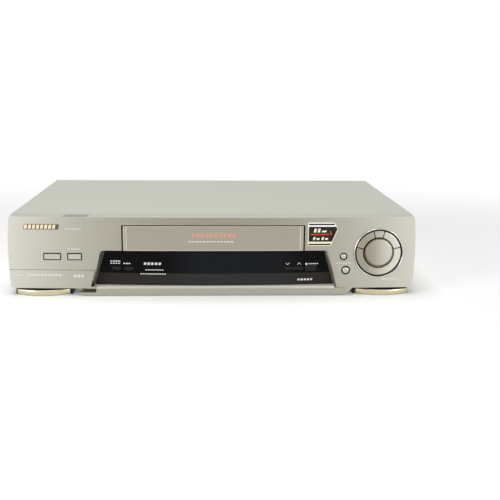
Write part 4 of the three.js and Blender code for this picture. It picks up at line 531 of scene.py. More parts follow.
def champagne_paint(name, ground, fleck, rough, metallic=paint_metal, ends=None):
    """Metallic paint: fine flakes a third of a millimetre wide, a faint orange peel and a soft
    cloudiness. Where ends are given, a painted highlight takes it over to the ends' two colours
    with the square of x."""
    paint = Finish(name, Specular_IOR_Level=0.45, Coat_Roughness=0.25, Coat_Weight=0.05)
    flakes = paint.noise(flake_size, 1, 0.4)
    clouds = paint.noise(0.06, 2)
    speckle = flakes * 0.6 + clouds * 0.4
    paint.tone = paint.mix(speckle, colour(ground), colour(fleck))
    if ends:
        outward = (paint.axis("X") * (2 / body_width / MM)) ** 2
        paint.tone = paint.mix(outward, paint.tone, paint.mix(speckle, colour(ends[0]), colour(ends[1])))
    paint.feed(
        Base_Color=paint.tone, Metallic=metallic,
        Roughness=paint.between(flakes * 0.5 + clouds * 0.5, rough - 0.05, rough + 0.06),
    )
    return paint.relief(paint.noise(0.0014, 2), 0.00002, 0.5)


def depth_in(finish):
    """How far a point lies behind the bowed face, in metres."""
    bow = (finish.axis("X") * (2 / body_width / MM)) ** 2 * (panel_bow * MM)
    return finish.axis("Y") - bow - panel_front * MM


def inside(finish, left, right, low, high):
    """1 where the point lies between left and right and between low and high, in millimetres."""
    x, z = finish.axis("X"), finish.axis("Z")
    return (x > left * MM) * (x < right * MM) * (z > low * MM) * (z < high * MM)


# The ends' shades are a painted highlight: the panel's and the flap's paint lightens towards both ends, where
# they catch the light.
panel_shades, end_highlight_shades = ("#959081", "#9D9889"), ("#C7C5BA", "#D0CEC4")
panel_openings = {
    # name: left, right, low and high edge in mm
    "cassette_slot": (-97.5, 97.5, 48.2, 76.6),
    "flat_caps": (-179, -137, 38.4, 46.4),
    "round_buttons": (133, 146, 22.5, 46.5),
    "transport_ring": (148, 203, 18, 74),
    "flap_edge": (-216, -132, 26, 28.6),
}
strip_from, strip_behind, gap_shade_depth = 83.2, 0.6, 0.5
chin_edges, ledge_edges, ledge_reach = (-141, 141, 1, 10.2), (-126, 129, 8.5, 10.2), 14
champagne = champagne_paint("champagne_paint", *panel_shades, 0.36, ends=end_highlight_shades)
behind = depth_in(champagne)
strip = (behind > strip_behind * MM) * (champagne.axis("Z") > strip_from * MM)
openings = sum(inside(champagne, *edges) for edges in panel_openings.values())
# Painted shade: the walls inside the openings, more than half a millimetre behind the face, are painted near
# black and not metallic, as the shade in the gaps.
gap_shade = openings * (behind > gap_shade_depth * MM)
lit_chin = inside(champagne, *chin_edges)
ledge_highlight = inside(champagne, *ledge_edges) * (behind < ledge_reach * MM)
# Painted light: the sloping upper strip and the chin are painted lighter, as light falls more on them than on
# the face.
champagne.tone = champagne.mix(strip, champagne.tone, colour("#B3B2A7"))
champagne.tone = champagne.mix(lit_chin, champagne.tone, colour("#ADA99B"))
# Painted highlight: the ledge under the window is painted pale and not metallic, so it shows light where it
# would reflect the dark window.
champagne.tone = champagne.mix(ledge_highlight, champagne.tone, colour("#EFEDE0"))
champagne.feed(
    Base_Color=champagne.mix(gap_shade, champagne.tone, colour("#171614")),
    Metallic=paint_metal * (1 - gap_shade.most(ledge_highlight)),
)
strip_fall, strip_depth, strip_back, body_height = 2, 18, -125, 86


def on_face_front(corners):
    """True for the corners that lie within 0.25 mm of the panel's bowed face."""
    return np.abs(corners[:, 1] - face_y(corners[:, 0])) < 0.25


def strip_z(y):
    """The strip's height at y: it falls evenly from the cover's height to the panel's upper edge."""
    return body_height - strip_fall * (strip_back - y) / strip_depth


def on_strip(corners):
    """True for the corners that lie within 0.15 mm of the strip."""
    return np.abs(corners[:, 2] - strip_z(corners[:, 1])) < 0.15


def strip_normal(corners):
    """The strip's outward normal, the same everywhere: up, and forward by the fall over the depth."""
    return np.tile(unit(np.array([(0, -strip_fall / strip_depth, 1)])), (len(corners), 1))


end_bulge, end_middle, end_half, end_corner = 1.6, 47, 35, 4
end_core = body_width / 2 - end_bulge - end_corner


def end_parts(corners):
    """How far a corner lies outside the core of the panel's end, sideways and in height. The end
    bulges out as a parabola in z over twice end_half, with a quarter circle above and below."""
    height = corners[:, 2] - np.clip(corners[:, 2], end_middle - end_half, end_middle + end_half)
    return np.abs(corners[:, 0]) - end_core, height


def on_end(corners):
    """True for the corners of the end's outer face, within 0.2 mm of the parabola or the circle."""
    side, height = end_parts(corners)
    swell = end_bulge * (1 - ((corners[:, 2] - end_middle) / end_half) ** 2)
    gap = np.where(height == 0, side - end_corner - swell, np.hypot(side, height) - end_corner)
    return (np.abs(gap) < 0.2) & (side > 0.1)


def end_normal(corners):
    """The end's normal: the parabola's slope, or the way from the quarter circle's centre."""
    side, height = end_parts(corners)
    slope = 2 * end_bulge * (corners[:, 2] - end_middle) / end_half ** 2
    straight = height == 0
    sideways = np.sign(corners[:, 0]) * np.where(straight, 1, side)
    return unit(np.stack([sideways, np.zeros(len(corners)), np.where(straight, slope, height)], 1))


softened(
    "front_panel", champagne,
    bows=[(on_face_front, face_normal), (on_strip, strip_normal), (on_end, end_normal)],
)


def grid_faces(rows, columns, around=False):
    """Faces between neighbouring points of a grid of rows by columns; around joins the last
    column to the first."""
    at = np.arange(rows * columns).reshape(rows, columns)
    if around:
        at = np.hstack([at, at[:, :1]])
    return np.stack([at[:-1, :-1], at[:-1, 1:], at[1:, 1:], at[1:, :-1]], -1).reshape(-1, 4)


def outline_of(corners):
    """A closed outline through the corners: 120 points, evenly spread, then each the mean of
    itself and its two neighbours, which rounds the corners."""
    loop = np.vstack([corners, corners[:1]]).astype(float)
    run = np.concatenate([[0], np.cumsum(np.linalg.norm(np.diff(loop, axis=0), axis=1))])
    at = np.linspace(0, run[-1], 120, endpoint=False)
    points = np.stack([np.interp(at, run, loop[:, i]) for i in (0, 1)], 1)
    return np.mean([np.roll(points, shift, axis=0) for shift in (-1, 0, 1)], axis=0)


def plate(name, corners, proud, finish):
    """A thin closed plate on the panel's face. A row is the outline drawn in to its middle by a
    share, and y is the face's y less the row's height: back, edge, rounded rim, then front."""
    outline, edge, sunk = outline_of(corners), 0.15, 0.08
    middle = outline.mean(0)
    reach = np.linalg.norm(outline - middle, axis=1).mean()
    shares = np.array([0, 0.5, 1, 1, 1 - 0.3 * edge / reach, 1 - edge / reach, 0.75, 0.5, 0.25, 0])
    heights = np.array([-sunk] * 3 + [proud - edge, proud - 0.3 * edge] + [proud] * 5)
    flat = middle + shares[:, None, None] * (outline - middle)
    points = np.stack([flat[..., 0], face_y(flat[..., 0]) - heights[:, None], flat[..., 1]], -1)
    new_piece(name, points, grid_faces(len(shares), len(outline), True), finish)


def row(start, stop, pitch, z, wide, high, lean=0):
    """Bars of one width, height and lean at the height z, from start to before stop along x."""
    return [(x, z, wide, high, lean) for x in np.arange(start, stop, pitch)]


def bars(name, rows, base, proud, finish, body="root", facing=-1):
    """Thin printed or raised bars, one closed block a row: x, z, width, height and lean, the
    sideways shift for each millimetre of height. Its front stands proud of the face y = base(x)."""
    x, z, wide, high, lean = np.array(rows, float).T[:, :, None]
    side = np.array([-1, 1, 1, -1, -1, 1, 1, -1]) / 2
    rise = np.array([-1, -1, 1, 1, -1, -1, 1, 1]) / 2
    stand = np.where(np.arange(8) < 4, proud, -0.05)
    across = x + side * wide + lean * rise * high
    points = np.stack([across, base(across) + facing * stand, z + rise * high], -1)
    block = np.array([(0, 1, 2, 3), (4, 7, 6, 5), (0, 4, 5, 1), (1, 5, 6, 2), (2, 6, 7, 3), (3, 7, 4, 0)])
    faces = (np.arange(len(x))[:, None, None] * 8 + block).reshape(-1, 4)
    new_piece(name, points, faces, finish, body, smooth=False)


# Small printed marks. Pale silk-screened dashes stand where the real panel carries words;
# they are plain bars, and lie a few hundredths of a millimetre proud of the paint.
pale_print = grained("pale_print", "#D3D2CA", "#DDDCD5", 0.45, 0.6)
print_proud = 0.03
dashes = row(-154, -136, 3.6, 71.8, 2.6, 1.0, 0.2) + row(-151, -139, 3.2, 50.6, 2.2, 1.0, 0.2)
dashes += row(131.2, 147, 2.4, 35.2, 1.6, 0.9) + row(181, 197, 3.4, 17.4, 2.4, 1.6)
bars("panel_dashes", dashes, face_y, print_proud, pale_print)

# Strip patch. A grey pad set in the sloping strip over the panel, left of the middle,
# with slanted ends; it is glued into a shallow bed.
patch_grey = grained("strip_patch_grey", "#82847C", "#8E9088", 0.42, 0.6, size=0.0005)
patch_outline = outline_of([(-158.3, -138.3), (-132.6, -138.3), (-129.8, -131.2), (-155.0, -131.2)])
patch_shares = np.array([0, 1, 1, 0.97, 0.5, 0])
patch_heights = np.array([-0.1, -0.1, 0.05, 0.15, 0.15, 0.15])
patch_middle = patch_outline.mean(0)
patch_flat = patch_middle + patch_shares[:, None, None] * (patch_outline - patch_middle)
patch_z = strip_z(patch_flat[..., 1]) + patch_heights[:, None]
new_piece(
    "strip_patch", np.concatenate([patch_flat, patch_z[..., None]], -1),
    grid_faces(len(patch_shares), len(patch_outline), True), patch_grey,
)

# Nameplate. A dark bronze plate glued at the upper left, bare but for a row of slanted
# cream-gold bars that are plated and stand a little proud.
name_dark = grained("nameplate_bronze", "#5B5343", "#6A6150", 0.32, 0.48, size=0.0005, Metallic=0.4)
name_gold = grained("nameplate_gold", "#E9DDB4", "#F3E9C8", 0.25, 0.38, Metallic=0.6)
plate("nameplate", [(-198.4, 71.2), (-161.8, 71.2), (-160.6, 76.8), (-197.2, 76.8)], 0.3, name_dark)
bars("nameplate_bars", row(-195.5, -162, 4.2, 74.2, 2.9, 4.2, 0.21), face_y, 0.75, name_gold)

# Badge. A five-sided printed plate between the slot and the ring: cream rim, dark lines and
# a black field with plain slanted bars in cream and red.
badge_corners = [(99.2, 54.0), (123.8, 54.0), (131.4, 72.2), (127.2, 79.0), (99.2, 79.0)]
badge_rim, badge_proud, badge_lean, cream_from = 0.9, 0.45, 0.25, 73.5
badge_field, low_line, high_line = (58.6, 74.6), (54.9, 56.4), (76.3, 77.9)
badge_print = Finish("badge_print", Specular_IOR_Level=0.2)
badge_x, badge_z = badge_print.axis("X"), badge_print.axis("Z")


def left_of(low, high):
    """How far a point lies to the left of the line through two of the badge's corners, in metres."""
    lean = (high[0] - low[0]) / (high[1] - low[1])
    return (badge_z - low[1] * MM) * lean + low[0] * MM - badge_x


def badge_band(low, high):
    """1 where a point of the badge lies between two heights, in millimetres."""
    return (badge_z > low * MM) * (badge_z < high * MM)


from_left = badge_x - badge_corners[0][0] * MM
from_edge = from_left.least(left_of(*badge_corners[1:3])).least(left_of(*badge_corners[2:4]))
dark_bands = sum(badge_band(*heights) for heights in (badge_field, low_line, high_line))
badge_grain = badge_print.noise(0.0005, 2)
cream = badge_print.mix(badge_z > cream_from * MM, colour("#F1ECCB"), colour("#FBFAF2"))
black = badge_print.mix(badge_grain, colour("#171813"), colour("#20211B"))
badge_print.feed(
    Base_Color=badge_print.mix((from_edge > badge_rim * MM) * dark_bands, cream, black),
    Roughness=badge_print.between(badge_grain, 0.28, 0.42),
)
plate("badge", badge_corners, badge_proud, badge_print)
badge_cream = grained("badge_cream", "#F0E7C8", "#FAF5DE", 0.35, 0.5)
badge_red = grained("badge_red", "#C8321C", "#DA4426", 0.35, 0.5)


def badge_face(x):
    """The front of the badge, proud of the panel's face."""
    return face_y(x) - badge_proud


cream_bars = [
    # x, z, width and height in mm
    (107.0, 70.6, 2.6, 4.0), (111.0, 70.6, 2.6, 4.0), (116.5, 69.6, 5.0, 1.8), (106.0, 62.0, 2.2, 3.2),
    (110.0, 61.6, 3.2, 2.0), (115.0, 62.0, 2.2, 3.2), (119.0, 61.6, 3.2, 2.0),
]
bars("badge_cream_bars", [(*bar, badge_lean) for bar in cream_bars], badge_face, 0.05, badge_cream)
red_bars = [(112.0, 66.4, 20.0, 1.3, badge_lean), (123.3, 68.0, 1.6, 4.2, -0.3)]
bars("badge_red_bars", red_bars, badge_face, 0.08, badge_red)

# Cover. A U of 0.8 mm sheet steel, bent over the pan and painted in a paler champagne with
# a fine leather-like orange peel. Cross-head screws hold it at the sides and the back.
cover_paint = champagne_paint("cover_paint", "#BABAAF", "#C2C2B8", 0.6, metallic=0.1)
cover_paint.feed(Specular_IOR_Level=0.3)
softened("top_cover", cover_paint)
screw_steel = grained("screw_steel", "#9FA09C", "#B4B5B0", 0.24, 0.38, Metallic=0.95)
head_high, cross_deep, cross_half, cross_reach = 1.9, 1.1, 0.2, 0.62
cover_screw_z, rear_screw_y, rear_screw_z = 15.5, 136.4, 76


def closed_faces(rows, columns):
    """A grid's faces, and one face round its border that closes its back."""
    at = np.arange(rows * columns).reshape(rows, columns)
    border = np.concatenate([at[0, :-1], at[:-1, -1], at[-1, :0:-1], at[:0:-1, 0]])
    return grid_faces(rows, columns).tolist() + [border.tolist()]


def stood(local, at, out):
    """Takes points given to the right of an axis, above it and out along it, to their places."""
    return np.array(at, float) + local @ np.stack([np.cross((0, 0, 1), out), (0, 0, 1), out])


def screw(name, at, out, radius=3.4):
    """A cross-head screw. Its grid is a square drawn in to a disc; the head is a dome, less a
    cross-shaped dip whose walls slope, and a skirt row closes it down to its seat."""
    steps = np.pad(np.linspace(-1, 1, 33), 1, mode="edge")
    u, v = np.meshgrid(steps, steps)
    outward = np.maximum(np.abs(u), np.abs(v))
    draw = radius * outward / np.maximum(np.hypot(u, v), 1e-9)
    arm = np.clip((cross_half - np.minimum(np.abs(u), np.abs(v))) / 0.08, 0, 1)
    arm = arm * np.clip((cross_reach - outward) / 0.1, 0, 1)
    height = head_high * np.sqrt(1 - 0.75 * outward ** 2) - cross_deep * arm
    height[[0, -1], :] = -0.1
    height[:, [0, -1]] = -0.1
    local = np.stack([u * draw, v * draw, height], -1)
    new_piece(name, stood(local, at, out), closed_faces(*u.shape), screw_steel)


for side, x, way in (("left", -214, -1), ("right", 214, 1)):
    for where, y in (("front", -95), ("back", 105)):
        screw(f"cover_screw_{side}_{where}", (x, y, cover_screw_z), (way, 0, 0))
for where, x in (("left", -200), ("middle", 45), ("right", 200)):
    screw(f"rear_screw_{where}", (x, rear_screw_y, rear_screw_z), (0, 1, 0), 3.0)

# Cassette door. A bowed moulded flap, hinged along its top and painted as the panel is, but a
# shade lighter. Its front has rounded edges and a low step near each end, with painted
# highlights along its rim and the steps' ridges. Everything more than 1.6 mm behind its face,
# the web and pins among it, and its top edge are painted near black as the shade in the gaps
# round the door.
door_half, door_low, door_high = 94.7, 48.7, 75.0
door_recess, door_front_in, door_back_in, door_edge, door_shade_rim = 0.8, 0.35, 1.4, 0.7, 0.3
door_step_at, door_step_wide, door_step_deep = 91.4, 0.8, 0.35
door_shade_depth, door_shade_top, door_field = 1.6, 75.2, (-93.8, 93.8, 49.6, 74.4)
ridge_from, ridge_to = 90.9, 91.8
door_paint = champagne_paint("door_paint", "#9F9A8C", "#A7A294", 0.36)
# Painted shade: the door's top edge, and all that lies more than 1.6 mm behind its face, are painted near
# black and not metallic, as the shade in the gaps round the door.
door_top = door_paint.axis("Z") > door_shade_top * MM
door_gap_shade = door_top.most(depth_in(door_paint) > door_shade_depth * MM)
# Painted highlights: the rim of the door's front and a ridge near each end are painted lighter, where they
# catch the light.
door_rim_lit = 1 - inside(door_paint, *door_field)
door_across = door_paint.axis("X") ** 2
door_ridge_highlight = (door_across > (ridge_from * MM) ** 2) * (door_across < (ridge_to * MM) ** 2)
door_paint.tone = door_paint.mix(door_rim_lit.most(door_ridge_highlight), door_paint.tone, colour("#C4C1B5"))
door_paint.feed(
    Base_Color=door_paint.mix(door_gap_shade, door_paint.tone, colour("#141413")),
    Metallic=door_paint.between(door_gap_shade, paint_metal, 0.0),
)


def on_door_plate(corners):
    """True for the corners that lie within 0.2 mm of the door's own face, under its front skin."""
    return np.abs(corners[:, 1] - face_y(corners[:, 0]) - door_recess) < 0.2


softened("cassette_door", door_paint, "cassette_door", bows=[(on_door_plate, face_normal)])


def packed(half, count):
    """Places from -half to half that lie closer together towards both ends, as a sine."""
    return half * np.sin(np.linspace(-1, 1, count) * math.pi / 2)


# The front skin stops 0.3 mm short of the door's edges, so the painted shade behind it shows round it as a
# wider gap.
front_half = door_half - door_shade_rim
front_middle, front_rise = (door_low + door_high) / 2, (door_high - door_low) / 2 - door_shade_rim
step_grid = door_step_at + np.linspace(-0.6, 0.6, 7)
door_u = np.unique(np.concatenate([packed(front_half, 61), -step_grid, step_grid]))
door_v = packed(front_rise, 31) + front_middle
door_x, door_z = np.meshgrid(np.pad(door_u, 1, mode="edge"), np.pad(door_v, 1, mode="edge"))
near_side = np.clip(1 - (front_half - np.abs(door_x)) / door_edge, 0, 1)
near_end = np.clip(1 - (front_rise - np.abs(door_z - front_middle)) / door_edge, 0, 1)
round_off = np.clip(np.hypot(near_side, near_end), 0, 1)
step_share = np.clip((door_step_at + door_step_wide / 2 - np.abs(door_x)) / door_step_wide, 0, 1)
door_in = door_front_in + door_edge * (1 - np.sqrt(1 - round_off ** 2)) + door_step_deep * step_share
door_in[[0, -1], :] = door_back_in
door_in[:, [0, -1]] = door_back_in
new_piece(
    "door_front", np.stack([door_x, face_y(door_x) + door_in, door_z], -1), closed_faces(*door_x.shape),
    door_paint, "cassette_door",
)


def door_face(x):
    """The front of the door's middle field."""
    return face_y(x) + door_front_in + door_step_deep


salmon_print = grained("salmon_print", "#CC8F7B", "#D69C88", 0.4, 0.55)
door_dashes = row(-25, 23, 3.7, 58.6, 2.6, 1.4, 0.3)
bars("door_dashes", door_dashes, door_face, print_proud, pale_print, "cassette_door")
door_bars = row(-21.5, 24, 4.8, 65.4, 3.0, 4.6, 0.3)
bars("door_bars", door_bars, door_face, print_proud, salmon_print, "cassette_door")

# Socket flap. It carries on the panel's lower left corner, hinges along its bottom, and has
# the panel's paint with its painted highlight towards the ends; its upper edge is painted near
# black as the shade in the seam.
flap_seam = 26.8
flap_paint = champagne_paint("flap_paint", *panel_shades, 0.36, ends=end_highlight_shades)
# Painted shade: the flap's upper edge behind the face is painted near black and not metallic, as the shade in
# the seam.
flap_seam_shade = (depth_in(flap_paint) > gap_shade_depth * MM) * (flap_paint.axis("Z") > flap_seam * MM)
flap_paint.feed(
    Base_Color=flap_paint.mix(flap_seam_shade, flap_paint.tone, colour("#1B1A18")),
    Metallic=flap_paint.between(flap_seam_shade, paint_metal, 0.0),
)
softened("av_flap", flap_paint, "av_flap", bows=[(on_face_front, face_normal)])
flap_dashes = row(-208, -200, 3.1, 22.2, 2.2, 1.5) + row(-194.5, -161, 3.7, 22.4, 2.6, 1.9)
flap_dashes += row(-145.5, -136, 3.9, 21.4, 2.6, 2.8)
bars("flap_dashes", flap_dashes, face_y, print_proud, pale_print, "av_flap")

# Window. Smoked acrylic bowed more than the panel; its lower band is painted a warmer,
# lighter black as a painted reflection of the pale table, its middle is greyer where the
# display tube lies behind it, and its front carries white dashes and arrow marks.
window_front, window_bow, window_x, window_half = -137, 7, 1.5, 127.6


def window_y(x):
    """Where the window's face lies: its own front plane plus its bow times the square of its
    share of the half width."""
    return window_front + window_bow * ((x - window_x) / window_half) ** 2


def on_window(corners):
    """True for the corners that lie within 0.3 mm of the window's face."""
    return np.abs(corners[:, 1] - window_y(corners[:, 0])) < 0.3


def window_normal(corners):
    """The window's outward normal, from its slope along x."""
    return bowed_normal(2 * window_bow * (corners[:, 0] - window_x) / window_half ** 2)


band_top, tube_left, tube_right = (0.0224, 0.0232), (-0.06, -0.01), (0.06, 0.105)
smoked = Finish("smoked_acrylic", Specular_IOR_Level=0.06)
above_band = smoked.step(smoked.axis("Z"), *band_top)
tube_behind = smoked.step(smoked.axis("X"), *tube_left) * (1 - smoked.step(smoked.axis("X"), *tube_right))
scratches = smoked.noise(0.0009, 3, scale=(0.05, 1, 1))
# Painted reflection: below the band's top the window is painted a warmer, lighter black, as the pale table
# reflected in it.
reflected_band = smoked.mix(tube_behind, colour("#302D2A"), colour("#323331"))
clear_shade = smoked.mix(tube_behind, colour("#0A0A0B"), colour("#191B1E"))
smoked.feed(
    Base_Color=smoked.mix(above_band, reflected_band, clear_shade),
    Roughness=smoked.between(scratches, 0.05, 0.11),
)
smoked.relief(scratches, 0.000004)
softened("display_window", smoked, bows=[(on_window, window_normal)])
white_print = grained("white_print", "#D2D3D2", "#E4E5E4", 0.45, 0.6)
window_marks = row(-108.5, -99.5, 2.8, 35.6, 2.0, 1.3) + row(-108.5, -99.5, 2.8, 33.2, 2.0, 1.1)
window_marks += row(-94.6, -87.0, 2.7, 33.2, 1.8, 1.3) + row(-72.5, -53, 3.9, 33.3, 2.6, 2.6, 0.2)
window_marks += row(-71.5, -53, 2.5, 26.6, 1.7, 1.1) + row(-76.5, -49, 2.5, 22.2, 1.7, 1.1)
window_marks += [(78.2, 32.9, 0.7, 2.2, -0.9), (80.2, 32.9, 0.7, 2.2, 0.9)]
window_marks += [(90.6, 32.9, 0.7, 2.2, 0.9), (92.6, 32.9, 0.7, 2.2, -0.9)]
window_marks += [(99.4, 32.4, 2.1, 2.0, 0)]
window_marks += row(102.6, 113, 2.2, 32.6, 1.5, 1.1) + row(91.3, 105, 3.4, 15.4, 2.4, 2.0)
bars("window_marks", window_marks, window_y, print_proud, white_print)

# Window keys. Small keys of dark plastic that come through the window, each in a slot.
window_key = grained(
    "window_key_plastic", "#16181A", "#1C1E20", 0.24, 0.34,
    size=0.0005, relief=0.00001, Specular_IOR_Level=0.2,
)
for name in ("direct_record_button", "audio_dub_button", "channel_rocker", "record_button"):
    softened(name, window_key, name)

# Panel buttons. Two flat caps and two round ones in a lighter champagne; their flanks, and
# all but their fronts, are painted near black as the shade in the gaps round them, and the
# round ones sit in black rings that stand for the shade round them too.
cap_paint = champagne_paint("cap_paint", "#B9B6AA", "#C3C0B5", 0.33)
cap_fronts = {
    # name: left, right, low and high edge in mm
    "power_button": (-177.1, -160.6, 39.6, 45.2),
    "eject_button": (-152.05, -138.75, 39.6, 45.2),
    "round_buttons": (130, 150, 20, 50),
}
cap_shade_depth = 0.15
# Painted shade: all of a button that lies more than 0.15 mm behind the face or outside its front is painted
# near black and not metallic, as the shade in the gaps round it.
cap_front_area = sum(inside(cap_paint, *edges) for edges in cap_fronts.values())
cap_gap_shade = (depth_in(cap_paint) > cap_shade_depth * MM).most(1 - cap_front_area)
cap_paint.feed(
    Base_Color=cap_paint.mix(cap_gap_shade, cap_paint.tone, colour("#1A1917")),
    Metallic=cap_paint.between(cap_gap_shade, paint_metal, 0.0),
)
for name in ("power_button", "eject_button", "upper_round_button", "lower_round_button"):
    softened(name, cap_paint, name)


def turned(name, profile, at, out, finish, body="root", steps=96, slot=None, rise=0):
    """A turned piece: each point of the profile, a radius and a height along out, goes round
    the axis in equal steps. The profile's ends lie on the axis, or meet each other; rise lifts
    each point's circle, which leans the axis."""
    radius, height = np.array(profile, float).T[:, :, None]
    angle = np.linspace(0, 2 * math.pi, steps, endpoint=False)
    up = radius * np.sin(angle) + np.reshape(rise, (-1, 1))
    local = np.stack([radius * np.cos(angle), up, height + 0 * angle], -1)
    new_piece(name, stood(local, at, out), grid_faces(len(radius), steps, True), finish, body)


def bead(inner, outer, low, high, count=9):
    """A closed profile: flat below, and half an ellipse above, from the inner to the outer radius."""
    turn = np.linspace(0, math.pi, count)
    middle, half = (inner + outer) / 2, (outer - inner) / 2
    arch = np.stack([middle - half * np.cos(turn), (high - low) * np.sin(turn) + low], 1)
    return np.vstack([arch, arch[:1]])


def on_face(x, z):
    """A point of the panel's face and the face's outward normal there."""
    return (x, float(face_y(x)), z), face_normal(np.array([[x, 0.0, z]]))[0]


# Painted shade: dark rings round the round buttons stand for the shade in the gaps round them.
shade_ring_black = grained(
    "shade_ring_black", "#0C0C0B", "#151514", 0.6, 0.75, size=0.0005, Specular_IOR_Level=0.08
)
for name, x, z, inner, outer in (("upper", 137.9, 42.3, 3.1, 4.2), ("lower", 140.6, 27.4, 3.6, 4.85)):
    ring = bead(inner, outer, -0.1, 0.12)
    turned(f"{name}_round_shade_ring", ring, *on_face(x, z), shade_ring_black, steps=48, slot="black_plastic")

# Transport ring. A cup in a round opening, dressed in black moulded plastic as the shade in
# the gaps round the keys, with a polished plated bead round its rim, four painted keys on a
# circle and a domed stop disc in the middle.
# Painted shade: the cup is dressed in black so that the gaps round the keys read as shade.
softened("transport_bezel", black_moulded)
bright_ring = grained(
    "bright_ring", "#C9CACA", "#D6D6D4", 0.12, 0.2, size=0.0006, relief=0.000005, Metallic=1.0
)
ring_at, ring_out = on_face(175.3, 46)
ring_right = np.cross((0, 0, 1), ring_out)
rim_inner, rim_outer, rim_high = 25.25, 26.75, 1.75
rim_bead = bead(rim_inner, rim_outer, 0, rim_high, 13)
turned("transport_rim", rim_bead, ring_at, ring_out, bright_ring, slot="polished_ring")


def side_lit_paint(name, left, right, start, end):
    """The champagne paint with painted light: it goes over from its left to its right shade
    between two places in x, in metres, darker on the left and lighter on the right. A shade is
    a ground colour and the colour of its fleck."""
    paint = champagne_paint(name, *left, 0.33)
    fleck = paint.noise(flake_size)
    shades = [paint.mix(fleck, colour(ground), colour(light)) for ground, light in (left, right)]
    paint.tone = paint.mix(paint.step(paint.axis("X"), start, end), *shades)
    return paint.feed(Base_Color=paint.tone)


# Painted light: the keys are painted darker on the left of the ring and lighter on its right.
key_paint = side_lit_paint("key_paint", ("#98937F", "#A09B89"), ("#D6D4C8", "#DCDACF"), 0.158, 0.196)
key_slope, key_middle, key_stand = -0.04, 20.25, 1


def in_ring(points):
    """A point's place to the right of the ring's axis, above it, and out along it."""
    away = points - np.array(ring_at)
    return away @ ring_right, away[:, 2], away @ ring_out


def cone_rise(right, up):
    """How far the keys' flat cone stands out: the slope for each millimetre that the place lies
    nearer the axis than the key's middle."""
    return key_slope * (key_middle - np.hypot(right, up))


def coned(points):
    """Moves a key's points before the panel's face out by the cone's rise; those behind it stay."""
    right, up, out = in_ring(points)
    return points + np.where(out > 0, cone_rise(right, up), 0)[:, None] * ring_out


def key_front(points):
    """True for the points of a key's front, which lies within 0.12 mm of the cone."""
    right, up, out = in_ring(points)
    return np.abs(out - key_stand - cone_rise(right, up)) < 0.12


def key_normal(points):
    """The cone's normal: the axis plus the slope along the way from the axis to the point."""
    right, up, _ = in_ring(points)
    away = np.stack([right, up], 1) / np.hypot(right, up)[:, None] * key_slope
    return unit(ring_out + away[:, :1] * ring_right + away[:, 1:] * np.array([0, 0, 1]))


for name in ("rewind_key", "pause_key", "fast_forward_key", "play_key"):
    softened(name, key_paint, name, bows=[(key_front, key_normal)], reshape=coned)
# The stop disc has the same painted light, darker on the left and lighter on the right.
disc_paint = side_lit_paint("disc_paint", ("#989283", "#9F998A"), ("#C6C3B5", "#CBC8BB"), 0.163, 0.188)
disc_lean, lean_from, lean_over, disc_flat, flank_shade_wide = 1.1, 1.3, 1.9, 13.6, 0.5
# Painted shade: a brown ring on the disc's flank, centred a little above the axis so that it is widest at the
# bottom, stands for the shade under the dome.
disc_x = disc_paint.axis("X") - ring_at[0] * MM
disc_z = disc_paint.axis("Z") - (ring_at[2] + disc_lean) * MM
disc_flank_shade = disc_paint.step(
    (disc_x ** 2 + disc_z ** 2) ** 0.5, disc_flat * MM, (disc_flat + flank_shade_wide) * MM
)
disc_paint.feed(Base_Color=disc_paint.mix(disc_flank_shade, disc_paint.tone, colour("#70665A")))
softened("stop_key", disc_paint, "stop_key")
disc_profile = np.array([
    (0, 0.6), (15.6, 0.6), (15.6, 1.3), (15.3, 2.1), (14.7, 2.8), (14.1, 3.15),
    (13.6, 3.25), (12.5, 3.33), (9.5, 3.5), (6.0, 3.62), (3.0, 3.7), (0, 3.72),
])
disc_rise = disc_lean * np.clip((disc_profile[:, 1] - lean_from) / lean_over, 0, 1)
turned(
    "stop_key_dome", disc_profile, ring_at, ring_out, disc_paint, "stop_key",
    slot="cap_plastic", rise=disc_rise,
)

# Gold crescents in the front feet. Each is a flat bow of plastic, vacuum-plated in a pale
# gold, that is pressed into its foot's bowed nose.
gold_plate = grained("pale_gold_plate", "#CDC5A6", "#D0C9AB", 0.24, 0.29, Metallic=0.75)
nose_y, nose_bow, nose_half = -141.25, 9, 29.8
crescent_thick, crescent_high, crescent_z = 1.35, 2.85, 3.3


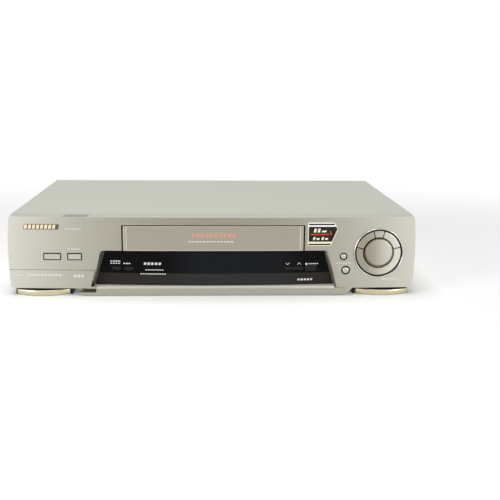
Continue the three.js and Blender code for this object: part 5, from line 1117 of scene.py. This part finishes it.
def crescent(name, middle, half):
    """The crescent's section, a flattened ring in depth and height, carried along the foot's
    bowed nose: y grows with the square of the way from the middle. It narrows at both ends."""
    along = packed(1, 61)[:, None]
    turn = np.linspace(0, 2 * math.pi, 20, endpoint=False)
    taper = np.sqrt(np.clip(1 - np.clip((np.abs(along) - 0.96) / 0.04, 0, 1) ** 2, 0.0004, 1))
    across = crescent_thick * np.sign(np.cos(turn)) * np.abs(np.cos(turn)) ** 0.5
    upward = crescent_high * np.sign(np.sin(turn)) * np.abs(np.sin(turn)) ** 0.5
    x = middle + half * along + 0 * turn
    y = nose_y + nose_bow * (half * along / nose_half) ** 2 + across * taper
    z = crescent_z + upward * taper
    rows, columns = x.shape
    faces = grid_faces(rows, columns, True).tolist()
    faces += [list(range(columns)), list(range((rows - 1) * columns, rows * columns))]
    piece = new_piece(name + "_crescent", np.stack([x, y, z], -1), faces, gold_plate)
    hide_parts(name)


crescent("foot_trim_left", -179.8, 28.2)
crescent("foot_trim_right", 180.6, 28.6)

# Socket collars and contacts. Coloured plastic collars round the phono jacks, front and back,
# and rows of plated contacts in the two 21-pin sockets.
collar_shades = {
    "yellow": ("#D8B32A", "#E2C040"),
    "white": ("#DAD9D3", "#E6E5E0"),
    "red": ("#A8241E", "#B83028"),
}
collars = {}
for name, shades in collar_shades.items():
    collars[name] = grained(f"{name}_collar", *shades, 0.34, 0.5)
jack_hole, front_collar, rear_collar = 4.3, 4.9, 6.4
front_jack_y, front_jack_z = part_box("front_av_jacks")[0][1] / MM + 0.02, 17.5
for name, x in (("yellow", -196), ("white", -174), ("red", -152)):
    at, collar = (x, front_jack_y, front_jack_z), bead(jack_hole, front_collar, 0, 0.12)
    turned(f"front_{name}_collar", collar, at, (0, -1, 0), collars[name], steps=48)
rear_jack_x, rear_jack_y = -90, 137
for name, z in (("white", 42), ("red", 24)):
    at, collar = (rear_jack_x, rear_jack_y, z), bead(jack_hole, rear_collar, -0.1, 1)
    turned(f"rear_{name}_collar", collar, at, (0, 1, 0), collars[name], steps=48)
socket_plane, contact_pitch, contact_wide, contact_high = 139, 3.6, 1, 3


def socket_front(x):
    """The outer face of the 21-pin sockets, which is flat."""
    return socket_plane + 0 * x


contacts = []
for socket_z in (27, 52):
    for row_shift in (-2.6, 2.6):
        contacts += row(-145.5, -113, contact_pitch, socket_z + row_shift, contact_wide, contact_high)
bars("av_socket_contacts", contacts, socket_front, 0.06, head_metal, facing=1)
